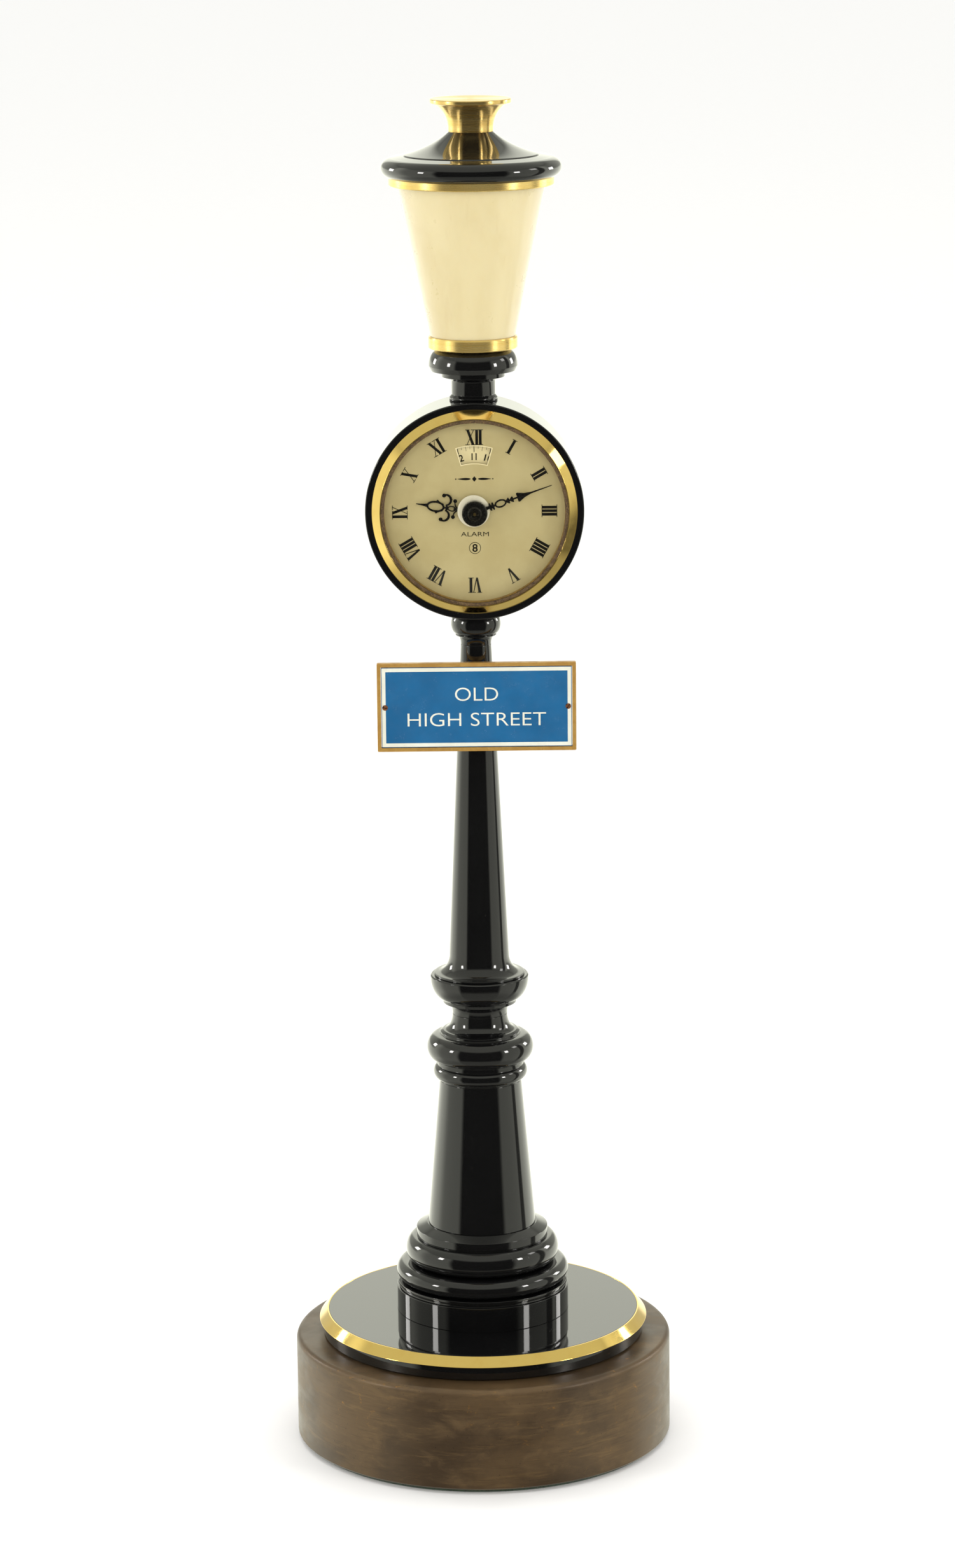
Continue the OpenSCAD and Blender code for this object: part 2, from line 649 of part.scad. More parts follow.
// Time side: everything from the barrel to the hands
centre_rear = cover_back - knob_gap - 2.2;
module centre_wheel() {
  color("#d9b860") in_head() {
    rod(centre_arbor_r, centre_rear, minute_hand_front + hub_h + 0.15);
    gear(fine, CENTRE_N, 0, -3.4, -3);
    gear(fine, CENTRE_PINION_N, centre_pinion_turn, -2.8, -2.2);
  }
}
module cannon_pinion() {
  color("silver") in_head() {
    gear(tooth, CANNON_N, 0, plate_front + 0.2, plate_front + 0.9, centre_arbor_r);
    difference() {
      rod(cannon_r, plate_front + 0.3, minute_hand_front);
      hole(CENTRE, centre_arbor_r);
    }
  }
}
module leaf(outline) {
  linear_extrude(hand_t)
    polygon(concat(outline, [for (i = [len(outline) - 1:-1:0]) [outline[i][0], -outline[i][1]]]));
}
module loop_ring(at, rx, ry, wall) {
  translate(at) difference() {
    linear_extrude(hand_t) polygon(arc([0, 0], rx, ry, 0, 345, 23));
    translate([0, 0, -1]) linear_extrude(hand_t + 2)
      polygon(arc([0, 0], rx - wall, ry - wall, 0, 345, 23));
  }
}
module hand(angle, back, bore, boss_r) {
  in_head() rotate([0, 0, 90 - angle]) translate([0, 0, back]) difference() {
    union() {
      cylinder(r = boss_r, h = hand_t);
      children();
    }
    rod(bore, -1, hand_t + 1);
  }
}
module minute_hand() {
  color("black") hand(minute_angle, minute_hand_back, cannon_r, hub_r - 0.15) {
    leaf([[2.2, 0.95], [2.9, 0.9], [3.1, 0.5], [3.5, 0.3], [3.8, 0.85], [4.4, 0.3], [4.8, 0.2]]);
    loop_ring([5.95, 0], 1.3, 0.85, 0.35);
    leaf([[7.1, 0.15], [7.9, 0.2], [7.8, 0.65], [8.5, 0.2], [8.4, 0.5], [9.2, 0.15], [9.9, 0.3],
      [9.7, 0.95], [11, 0.4], [12.2, 0.2], [minute_hand_l, 0.06]]);
  }
}
module hour_hand() {
  color("black") hand(hour_angle, hour_hand_back, hour_pipe_r, hub_r + 0.4) {
    leaf([[2.9, 0.3], [3.7, 0.35], [4.1, 0.25], [5, 0.2]]);
    loop_ring([5.9, 0], 1.2, 0.9, 0.3);
    loop_ring([8.6, 0], 1.9, 1.45, 0.35);
    for (side = [-1, 1]) {
      translate([5.4, side * 1.9, 0]) cylinder(r = 0.35, h = hand_t);
      linear_extrude(hand_t) polygon([[4.6, side * 0.2], [4.95, side * 0.1], [5.6, side * 1.8],
        [5.3, side * 1.9]]);
    }
    leaf([[10.4, 0.2], [hour_hand_l, 0.06]]);
  }
}
module hand_nut() {
  color("black") in_head() translate([0, 0, minute_hand_front]) difference() {
    rotate_extrude() polygon([[0, 0], [hub_r, 0], [hub_r, hub_h - 0.8], [hub_r - 0.2, hub_h - 0.6],
      [1.5, hub_h - 0.6], [1.5, hub_h - 0.2], [1.3, hub_h], [0, hub_h]]);
    translate([0, 0, -1]) cylinder(r = centre_arbor_r, h = hub_h + 2);
  }
}
module knob(at, r, bore, from, to) {
  grips = 24;
  translate([at[0], at[1], from]) difference() {
    linear_extrude(to - from) polygon([for (i = [0:grips - 1]) each [
      polar([0, 0], r, i * 360 / grips), polar([0, 0], r - 0.15, (i + 0.5) * 360 / grips)]]);
    if (bore > 0) translate([0, 0, -1]) cylinder(r = bore, h = to - from + 2);
  }
}
module time_setting_knob() {
  color("goldenrod") in_head()
    knob(CENTRE, time_knob_r, centre_arbor_r, centre_rear, cover_back - knob_gap);
}
module hour_wheel() {
  color("#d9b860") in_head() {
    gear(hour_tooth, HOUR_N, hour_wheel_turn, 4.3, 4.8, cannon_r + run);
    difference() {
      rod(hour_pipe_r, 4.35, hour_hand_back + hand_t);
      hole(CENTRE, cannon_r + run);
    }
  }
}
module minute_wheel() {
  color("#d9b860") in_head(MINUTE) {
    gear(tooth, MINUTE_N, minute_wheel_turn, plate_front + 0.25, plate_front + 0.75,
      minute_stud_r + run);
    gear(hour_tooth, MINUTE_PINION_N, 0, plate_front + 0.6, 4.85, minute_stud_r + run);
  }
}
module intermediate_wheel() {
  color("#d9b860") in_head(INTER) {
    arbor(pinion_arbor_r, pivot_r, pivot_r);
    gear(tooth, BARREL_PINION_N, inter_pinion_turn, 0.8, 1.7);
    gear(fine, INTER_N, 0, -2.7, -2.3);
  }
}
module third_wheel() {
  color("#d9b860") in_head(THIRD) {
    arbor(pinion_arbor_r, pivot_r, pivot_r);
    gear(fine, THIRD_PINION_N, third_pinion_turn, -3.5, -2.9);
    gear(fine, THIRD_N, 0, -1, -0.6);
  }
}
module fourth_wheel() {
  color("#d9b860") in_head(FOURTH) {
    arbor(pinion_arbor_r, pivot_r, pivot_r);
    gear(fine, FOURTH_PINION_N, fourth_pinion_turn, -1.1, -0.5);
    gear(finest, FOURTH_N, 0, 0, 0.35);
  }
}
module escape_wheel() {
  n = 15;
  color("#d9b860") in_head(ESCAPE) {
    arbor(pinion_arbor_r, pivot_r, pivot_r);
    gear(finest, ESCAPE_PINION_N, escape_pinion_turn, -0.1, 0.45);
    translate([0, 0, -2.8]) linear_extrude(0.4) polygon([for (i = [0:n - 1]) each [
      polar([0, 0], escape_r * 0.74, (i - 0.1) * 360 / n),
      polar([0, 0], escape_r, i * 360 / n),
      polar([0, 0], escape_r * 0.98, (i + 0.12) * 360 / n),
      polar([0, 0], escape_r * 0.74, (i + 0.25) * 360 / n)]]);
  }
}
module pallet_lever() {
  fork = norm(BALANCE - PALLET) - 5.5 * tooth;
  color("silver") in_head(PALLET) {
    arbor(pinion_arbor_r, pivot_r, pivot_r);
    rotate([0, 0, lever_aim]) translate([0, 0, -2.8]) linear_extrude(0.4) {
      translate([0, -1.2 * tooth]) square([fork - 4 * tooth, 2.4 * tooth]);
      translate([fork - 4.5 * tooth, -3 * tooth]) square([1.5 * tooth, 6 * tooth]);
      for (side = [-1, 1]) {
        translate([fork - 4.5 * tooth, side * 2.25 * tooth - 0.75 * tooth])
          square([4.5 * tooth, 1.5 * tooth]);
        polygon([[tooth, 0], [-tooth, 0], [-6 * tooth, side * 12 * tooth],
          [-4 * tooth, side * 12 * tooth]]);
      }
    }
  }
}
module balance_wheel() {
  wheel_back = rear_back + 0.4;
  wheel_front = wheel_back + 0.6;
  color("#c9a94e") in_head(BALANCE) {
    rod(0.3, cock_front + 0.1, plate_back - 0.1);
    rod(pivot_r, cock_front - cock_t + 0.1, cock_front + 0.2);
    rod(pivot_r, plate_back - 0.2, plate_front - 0.1);
    rod(0.8, wheel_front - 0.1, wheel_front + 0.5);
    rod(3.5 * tooth, -2.9, -2.3);
    difference() {
      rod(balance_r, wheel_back, wheel_front);
      rod(balance_r - 3 * tooth, wheel_back - 1, wheel_front + 1);
    }
    for (turn = [0, 90]) rotate([0, 0, turn])
      translate([-balance_r + tooth, -1.5 * tooth, wheel_back])
        cube([2 * balance_r - 2 * tooth, 3 * tooth, 0.6]);
  }
}
module hairspring() {
  turns = 4;
  steps = 18 * turns;
  pitch = 2.5 * tooth;
  coil_w = 0.12;
  inner = 4 * tooth;
  spring_front = cock_front + 0.35;
  color("steelblue") in_head(BALANCE) rotate([0, 0, cock_angle]) {
    translate([0, 0, spring_front - 0.3]) linear_extrude(0.3) polygon(concat(
      [for (i = [0:steps]) let (t = i / steps) polar([0, 0], inner + pitch * turns * t, 360 * turns * t)],
      [for (i = [steps:-1:0]) let (t = i / steps)
        polar([0, 0], inner + coil_w + pitch * turns * t, 360 * turns * t)]));
    // Stud that pins the outer end to the cock
    translate([inner + pitch * turns + coil_w / 2, 0, 0])
      rod(0.25, cock_front, spring_front);
  }
}
module balance_cock() {
  arm = norm(COCK_FOOT - BALANCE);
  half = 1.4;
  color("#c9a94e") in_head(BALANCE) rotate([0, 0, cock_angle]) difference() {
    union() {
      rod(half, cock_front - cock_t, cock_front);
      translate([0, -half, cock_front - cock_t]) cube([arm, 2 * half, cock_t]);
      translate([arm, 0, 0]) rod(half, cock_front - cock_t, rear_back);
    }
    hole([0, 0], pivot_r + run);
    hole([arm, 0], screw_r);
  }
}
barrel_front = plate_back - 0.4;
barrel_back = -2;
module barrel(at, turn) {
  in_head(at) difference() {
    union() {
      gear(tooth, BARREL_N, turn, barrel_front - 0.7, barrel_front);
      rod(barrel_wall_r, barrel_back, barrel_front - 0.6);
    }
    hole([0, 0], winding_arbor_r + run);
  }
}
key_back = cover_back - 0.6 - 3.4;
module winding_arbor(at) {
  clicks = 24;
  in_head(at) {
    rod(winding_arbor_r, key_back + 0.4, plate_back - 0.1);
    rod(winding_pivot_r, plate_back - 0.2, plate_front - 0.1);
    translate([0, 0, rear_back - 0.9]) linear_extrude(0.6)
      polygon([for (i = [0:clicks - 1]) each [
        polar([0, 0], 3, i * 360 / clicks), polar([0, 0], 2.6, (i + 0.15) * 360 / clicks)]]);
  }
}
module winding_key(at) {
  hub_r = winding_arbor_r + 0.7;
  in_head(at) difference() {
    union() {
      rod(hub_r, key_back, cover_back - 0.6);
      for (side = [-1, 1]) {
        translate([side > 0 ? 0 : -key_half + 1.2, -0.6, key_back]) cube([key_half - 1.2, 1.2, 2.4]);
        translate([side * (key_half - 1.2), 0.6, key_back + 1.2]) rotate([90, 0, 0])
          cylinder(r = 1.2, h = 1.2);
      }
    }
    rod(winding_arbor_r, key_back + 0.4, 50);
  }
}
module time_barrel() { color("#d9b860") barrel(TIME_BARREL, barrel_turn); }
module time_winding_arbor() { color("silver") winding_arbor(TIME_BARREL); }
module time_winding_key() { color("goldenrod") winding_key(TIME_BARREL); }

// Alarm side
module alarm_barrel() { color("#d9b860") barrel(ALARM_BARREL, barrel_turn); }
module alarm_winding_arbor() { color("silver") winding_arbor(ALARM_BARREL); }
module alarm_winding_key() { color("goldenrod") winding_key(ALARM_BARREL); }
module strike_wheel() {
  n = 20;
  color("#d9b860") in_head(STRIKE) {
    arbor(pinion_arbor_r, pivot_r, pivot_r);
    gear(tooth, BARREL_PINION_N, strike_pinion_turn, 0.8, 1.7);
    translate([0, 0, -2.8]) linear_extrude(0.4) polygon([for (i = [0:n - 1]) each [
      polar([0, 0], strike_r, i * 360 / n), polar([0, 0], strike_r * 0.85, (i + 0.5) * 360 / n)]]);
  }
}
module hammer() {
  head_at = [-7, 37.5] * tooth;
  tail_at = [-28, -0.5] * tooth;
  color("silver") in_head(HAMMER) {
    arbor(pinion_arbor_r, pivot_r, pivot_r);
    translate([0, 0, -2.8]) linear_extrude(0.4) {
      circle(r = 5 * tooth);
      for (end = [head_at, tail_at]) rotate(heading([0, 0], end))
        translate([0, -0.4]) square([norm(end), 0.8]);
    }
    translate(head_at) rod(5.5 * tooth, -3.2, 0.6);
  }
}
module alarm_disc() {
  color("#e8e0c8") in_head() difference() {
    union() {
      rod(window_out + 0.4, disc_front - disc_t, disc_front);
      gear(tooth, ALARM_N, 0, disc_front - disc_t - alarm_teeth_t, disc_front - disc_t);
    }
    hole(CENTRE, hour_pipe_r + fit);
  }
}
module alarm_setting_knob() {
  color("goldenrod") in_head(ALARM_STEM) {
    gear(tooth, ALARM_PINION_N, alarm_pinion_turn, disc_front - disc_t - alarm_teeth_t,
      disc_front - disc_t - 0.02);
    rod(stem_r, centre_rear, disc_front - disc_t - 0.2);
    knob([0, 0], alarm_knob_r, 0, centre_rear, cover_back - knob_gap);
  }
}
stop_r = 1;
module stop_button() {
  color("goldenrod") in_head(STOP) {
    rod(stop_r, cover_back - stop_travel - 0.8, cover_front + 0.8);
    rod(stop_r + 0.8, cover_back - stop_travel - 1.2, cover_back - stop_travel - 0.4);
    rod(stop_r + 0.6, cover_front + 0.2, cover_front + 0.8);
  }
}

// Lantern
module lantern_cup() {
  neck_h = 3.75;
  lip_z = cup_h - 4.9;
  color("#141414") difference() {
    turned(z_cup, concat(
      [[neck_r + 0.5, -1.2], [neck_r + 0.5, 0.4], [neck_r, 1], [neck_r, neck_h]],
      arc([neck_r + 1.75, neck_h], 1.75, 1, 180, 90, 5),
      [[neck_r + 2.1, neck_h + 1.1], [neck_r + 2.1, lip_z - 0.15], [cup_r - 0.5, lip_z]],
      arc([cup_r - 2.25, lip_z + 1.1], 2.25, cup_h - lip_z - 1.3, 0, 80),
      [[cup_r - 1.9, cup_h]]), lantern_rod_r + slip);
    case_cylinder();
  }
}
module shade_rings() {
  lip = 0.35;
  color("goldenrod") {
    turned(z_lower_ring, [
      [lower_ring_r - 0.2, 0], [lower_ring_r, 0.2], [lower_ring_r, lower_ring_h - lip],
      [lower_ring_r - 0.15, lower_ring_h]], lantern_rod_r + slip);
    turned(z_upper_ring, [
      [upper_ring_r - 0.2, 0], [upper_ring_r, 0.2], [upper_ring_r, upper_ring_h]],
      lantern_rod_r + slip);
  }
}
module shade() {
  color("#eadfbb") translate([0, 0, z_shade]) rotate_extrude() polygon([
    [shade_foot_r - shade_wall, 0], [shade_foot_r, 0],
    [shade_top_r, shade_h], [shade_top_r - shade_wall, shade_h]]);
}
module roof() {
  brim = 2.15;
  skirt = 0.8;
  brim_in = roof_r - 2.55;
  color("#141414") translate([0, 0, z_roof]) rotate_extrude() polygon(concat(
    [[lantern_rod_r + slip, 0], [upper_ring_r + fit, 0], [upper_ring_r + fit, -skirt]],
    arc([brim_in, brim - skirt], 2.55, brim, -60, 90, 10),
    [[brim_in - 1.9, 2 * brim - skirt + 0.35], [brim_in - 2.2, 2 * brim - skirt + 0.3]],
    sweep3([brim_in - 2.5, 2 * brim - skirt + 0.6], [brim_in - 8.4, roof_h - 3.3],
      [finial_stem_r, roof_h], 10),
    [[lantern_rod_r + slip, roof_h]]));
}
module finial() {
  rim = 0.85;
  color("gold") difference() {
    translate([0, 0, z_finial]) rotate_extrude() polygon(concat(
      [[0, 0], [finial_stem_r, 0], [finial_stem_r, 0.6]],
      sweep3([finial_stem_r, 0.6], [finial_stem_r + 0.1, finial_h - 3.1],
        [finial_r - 1.3, finial_h - rim - 0.35], 10),
      [[finial_r, finial_h - rim], [finial_r, finial_h - 0.15], [finial_r - 0.15, finial_h],
       [0, finial_h]]));
    translate([0, 0, z_finial - 1]) cylinder(r = lantern_rod_r, h = finial_h - 2);
  }
}
module lantern_rod() {
  color("silver") rod(lantern_rod_r, z_cup - case_wall - nut_h - 0.4, z_finial + finial_h - 3.2);
}

felt_pad();
plinth();
base_disc();
base_ring();
pedestal();
lower_shaft();
knop();
upper_collar();
upper_shaft();
top_collar();
tie_rod();
rod_nuts();
sign_bracket();
sign_frame();
sign_plate();
sign_screws();
case_drum();
bezel();
crystal_gasket();
crystal();
dial_flange();
dial();
front_plate();
back_plate();
pillars();
movement_screws();
back_cover();
centre_wheel();
cannon_pinion();
minute_hand();
hand_nut();
time_setting_knob();
hour_wheel();
hour_hand();
minute_wheel();
intermediate_wheel();
third_wheel();
fourth_wheel();
escape_wheel();
pallet_lever();
balance_wheel();
hairspring();
balance_cock();
time_barrel();
time_winding_arbor();
time_winding_key();
alarm_barrel();
alarm_winding_arbor();
alarm_winding_key();
strike_wheel();
hammer();
alarm_disc();
alarm_setting_knob();
stop_button();
lantern_cup();
shade_rings();
shade();
roof();
finial();
lantern_rod();
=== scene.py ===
"""A table clock in the form of a street lamp post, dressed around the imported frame.

Outlines are in millimetres and are turned round the post's axis or round the clock's axis.
Sizes come from the boxes of the frame's nodes.
"""
import math

import bmesh
import bpy
from mathutils import Matrix, Vector


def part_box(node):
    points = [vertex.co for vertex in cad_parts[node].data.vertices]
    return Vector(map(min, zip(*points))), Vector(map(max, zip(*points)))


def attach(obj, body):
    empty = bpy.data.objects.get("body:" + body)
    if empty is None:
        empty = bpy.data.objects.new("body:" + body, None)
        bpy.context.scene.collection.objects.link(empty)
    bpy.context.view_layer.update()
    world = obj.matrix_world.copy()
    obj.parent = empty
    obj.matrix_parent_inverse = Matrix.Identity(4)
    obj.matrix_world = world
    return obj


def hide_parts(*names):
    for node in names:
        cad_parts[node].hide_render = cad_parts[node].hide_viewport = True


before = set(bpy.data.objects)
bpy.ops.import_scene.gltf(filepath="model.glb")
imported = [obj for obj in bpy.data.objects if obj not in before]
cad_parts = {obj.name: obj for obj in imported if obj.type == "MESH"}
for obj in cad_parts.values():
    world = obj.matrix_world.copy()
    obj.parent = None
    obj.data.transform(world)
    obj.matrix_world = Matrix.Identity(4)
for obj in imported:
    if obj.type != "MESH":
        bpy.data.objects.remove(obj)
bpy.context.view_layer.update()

MM = 0.001
SEGMENTS = 192


# ---------------- sizes from the frame
class Node:
    """A node's box in millimetres, with its radius round the post and round the clock."""

    def __init__(self, name):
        low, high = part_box(name)
        self.low, self.high = low / MM, high / MM
        self.bottom, self.top = self.low.z, self.high.z
        self.height = self.top - self.bottom
        self.r = (self.high.x - self.low.x) / 2
        self.front, self.back = -self.low.y, -self.high.y
        self.mid_z = (self.top + self.bottom) / 2


N = {name: Node(name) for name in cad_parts}
HEAD_Z = N["case_drum"].mid_z
HEAD = Matrix.Translation((0, 0, HEAD_Z * MM)) @ Matrix.Rotation(math.radians(90), 4, "X")


# ---------------- outlines
def arc(centre, rx, ry, start, end, steps=14):
    """Points of an elliptical arc, in degrees."""
    return [
        (centre[0] + rx * math.cos(math.radians(start + (end - start) * i / steps)),
         centre[1] + ry * math.sin(math.radians(start + (end - start) * i / steps)))
        for i in range(steps + 1)
    ]


def sweep(p, q, s, steps=16):
    """Points of a curve from p to s that leans towards q."""
    out = []
    for i in range(steps + 1):
        t = i / steps
        a, b, c = (1 - t) ** 2, 2 * t * (1 - t), t * t
        out.append((a * p[0] + b * q[0] + c * s[0], a * p[1] + b * q[1] + c * s[1]))
    return out


def soften(points, radius=0.12, steps=4, closed=False):
    """Rounds the corners sharper than 22 degrees, so that edges catch the light."""
    count, out = len(points), []
    for i, here in enumerate(points):
        if not closed and i in (0, count - 1):
            out.append(here)
            continue
        a, b, c = Vector(points[i - 1]), Vector(here), Vector(points[(i + 1) % count])
        before, after = b - a, c - b
        if before.length < 1e-6 or after.length < 1e-6:
            continue
        turn = before.angle(after)
        if turn < math.radians(22):
            out.append(here)
            continue
        cut = min(radius * math.tan(turn / 2), 0.42 * before.length, 0.42 * after.length)
        p, s = b - before.normalized() * cut, b + after.normalized() * cut
        out += sweep(p, b, s, steps)
    return out


# ---------------- meshes
def link(name, mesh, material, smooth=True):
    piece = bpy.data.objects.new(name, mesh)
    bpy.context.scene.collection.objects.link(piece)
    if material is not None:
        piece.data.materials.append(material)
    for face in piece.data.polygons:
        face.use_smooth = smooth
    return piece


def weigh_normals(piece):
    """Keeps flats flat next to their rounded edges."""
    mod = piece.modifiers.new("weighted_normals", "WEIGHTED_NORMAL")
    mod.keep_sharp = True


def finish_piece(piece, body, slot, *nodes):
    if nodes:
        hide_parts(*nodes)
    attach(piece, body)
    return piece


def mesh_data(name, mesh, at=None, outward=True):
    """A mesh from a bmesh, moved by `at`, with its faces turned outward."""
    if outward:
        bmesh.ops.recalc_face_normals(mesh, faces=mesh.faces)
    data = bpy.data.meshes.new(name)
    mesh.to_mesh(data)
    mesh.free()
    if at is not None:
        data.transform(at)
    return data


def lathe_mesh(name, outline, segments=SEGMENTS, closed=False):
    """Turns an outline of (radius, height) points round Z. A point on the axis becomes one vertex."""
    mesh = bmesh.new()
    rings = []
    for r, z in outline:
        if r < 1e-6:
            rings.append([mesh.verts.new((0, 0, z * MM))])
            continue
        ring = []
        for i in range(segments):
            a = 2 * math.pi * i / segments
            ring.append(mesh.verts.new((r * MM * math.cos(a), r * MM * math.sin(a), z * MM)))
        rings.append(ring)
    pairs = list(zip(rings, rings[1:]))
    if closed:
        pairs.append((rings[-1], rings[0]))
    for low, high in pairs:
        for i in range(segments):
            j = (i + 1) % segments
            corners = [low[i % len(low)], low[j % len(low)], high[j % len(high)], high[i % len(high)]]
            corners = list(dict.fromkeys(corners))
            if len(corners) > 2:
                mesh.faces.new(corners)
    return mesh_data(name, mesh)


def turned(name, outline, material, body, slot, *nodes, at=None, closed=False, segments=SEGMENTS):
    """A turned piece: an outline spun round the post's axis, or round `at`."""
    data = lathe_mesh(name, outline, segments, closed)
    if at is not None:
        data.transform(at)
    piece = link(name, data, material)
    weigh_normals(piece)
    return finish_piece(piece, body, slot, *nodes)


def turned_ring(name, outline, soft, look, body, slot, *nodes, **placing):
    """A turned piece with a hole through it, so that its outline is a closed loop."""
    loop = soften(outline, soft, closed=True)
    return turned(name, loop, M[look], body, slot, *nodes, closed=True, **placing)


def prism(mesh, points, back, front, edge=0.0):
    """Adds a straight-sided solid to a bmesh, with its front edge eased by `edge`. Millimetres."""
    def ring(offset, depth):
        return [mesh.verts.new((x * MM, y * MM, depth * MM)) for x, y in inset(points, offset)]

    rings = [ring(0, back), ring(0, front - edge)]
    if edge > 0:
        rings.append(ring(edge, front))
    mesh.faces.new(list(reversed(rings[0])))
    mesh.faces.new(rings[-1])
    for low, high in zip(rings, rings[1:]):
        for i in range(len(points)):
            j = (i + 1) % len(points)
            mesh.faces.new([low[i], low[j], high[j], high[i]])


def inset(points, offset):
    """Moves each point of a closed outline inwards along its corner's bisector."""
    if offset == 0:
        return points
    area = sum(a[0] * b[1] - b[0] * a[1] for a, b in zip(points, points[1:] + points[:1]))
    side = 1 if area > 0 else -1
    out = []
    for i, here in enumerate(points):
        a, b, c = Vector(points[i - 1]), Vector(here), Vector(points[(i + 1) % len(points)])
        before, after = (b - a).normalized(), (c - b).normalized()
        n1, n2 = Vector((-before.y, before.x)) * side, Vector((-after.y, after.x)) * side
        middle = n1 + n2
        if middle.length < 1e-6:
            out.append(here)
            continue
        middle.normalize()
        reach = min(offset / max(middle.dot(n1), 0.35), 2 * offset)
        out.append((b.x + middle.x * reach, b.y + middle.y * reach))
    return out


def circle(centre, r, steps=48):
    return arc(centre, r, r, 0, 360 * (steps - 1) / steps, steps - 1)


def stroke(path, widths):
    """The outline of a stroke along a path, with a width at each of its points."""
    left, right = [], []
    for i, here in enumerate(path):
        a, c = Vector(path[max(i - 1, 0)]), Vector(path[min(i + 1, len(path) - 1)])
        along = (c - a).normalized()
        across = Vector((-along.y, along.x)) * widths[i] / 2
        left.append((here[0] + across.x, here[1] + across.y))
        right.append((here[0] - across.x, here[1] - across.y))
    return left + right[::-1]


def turn_points(points, degrees, shift=(0, 0)):
    c, s = math.cos(math.radians(degrees)), math.sin(math.radians(degrees))
    return [(x * c - y * s + shift[0], x * s + y * c + shift[1]) for x, y in points]


def flat_piece(name, outlines, back, front, material, at=HEAD, edge=0.0):
    """A piece cut from sheet: each outline becomes one solid."""
    mesh = bmesh.new()
    for points in outlines:
        prism(mesh, points, back, front, edge)
    return link(name, mesh_data(name, mesh, at), material, smooth=False)


def made_by(curve):
    """The mesh that a curve makes. The curve itself is removed."""
    holder = bpy.data.objects.new(curve.name, curve)
    bpy.context.scene.collection.objects.link(holder)
    bpy.context.view_layer.update()
    shown = holder.evaluated_get(bpy.context.evaluated_depsgraph_get())
    data = bpy.data.meshes.new_from_object(shown)
    bpy.data.objects.remove(holder)
    bpy.data.curves.remove(curve)
    return data


def weld(data, distance):
    """Joins a mesh's loose edges and turns its faces outward."""
    mesh = bmesh.new()
    mesh.from_mesh(data)
    bmesh.ops.remove_doubles(mesh, verts=mesh.verts, dist=distance)
    bmesh.ops.recalc_face_normals(mesh, faces=mesh.faces)
    mesh.to_mesh(data)
    mesh.free()


def sheet_with_holes(name, loops, back, front, edge, material, at=HEAD):
    """A sheet whose inner loops are holes, with eased edges."""
    curve = bpy.data.curves.new(name, "CURVE")
    curve.dimensions, curve.fill_mode = "2D", "BOTH"
    curve.extrude = (front - back) / 2 * MM - edge * MM
    curve.bevel_depth, curve.bevel_resolution = edge * MM, 2
    curve.offset = -edge * MM
    for points in loops:
        spline = curve.splines.new("POLY")
        spline.points.add(len(points) - 1)
        for slot_point, (x, y) in zip(spline.points, points):
            slot_point.co = (x * MM, y * MM, 0, 1)
        spline.use_cyclic_u = True
    data = made_by(curve)
    weld(data, 1e-7)
    data.name = name
    data.transform(at @ Matrix.Translation((0, 0, (front + back) / 2 * MM)))
    return link(name, data, material, smooth=False)


# ---------------- materials
def srgb(r, g, b):
    """A colour given as it looks on screen, 0 to 255, made linear."""
    def lin(v):
        v /= 255
        return v / 12.92 if v <= 0.04045 else ((v + 0.055) / 1.055) ** 2.4

    return (lin(r), lin(g), lin(b), 1.0)


class Nodes:
    """Adds nodes to a shader's tree. An input is a socket to link or a value to set."""

    def __init__(self, tree):
        self.tree = tree

    def node(self, kind, inputs=(), **settings):
        made = self.tree.nodes.new("ShaderNode" + kind)
        for key, value in settings.items():
            setattr(made, key, value)
        for key, value in dict(inputs).items():
            if isinstance(value, bpy.types.NodeSocket):
                self.tree.links.new(value, made.inputs[key])
            else:
                made.inputs[key].default_value = value
        return made

    def vector(self, operation, a, b=(0, 0, 0), scale=1.0):
        return self.node("VectorMath", {0: a, 1: b, 3: scale}, operation=operation).outputs["Vector"]

    def math(self, operation, a, b=0.0, clamp=False):
        return self.node("Math", {0: a, 1: b}, operation=operation, use_clamp=clamp).outputs[0]

    def span(self, value, low, high, to_low=0.0, to_high=1.0):
        inputs = {"Value": value, "From Min": low, "From Max": high, "To Min": to_low, "To Max": to_high}
        return self.node("MapRange", inputs, interpolation_type="SMOOTHSTEP").outputs[0]


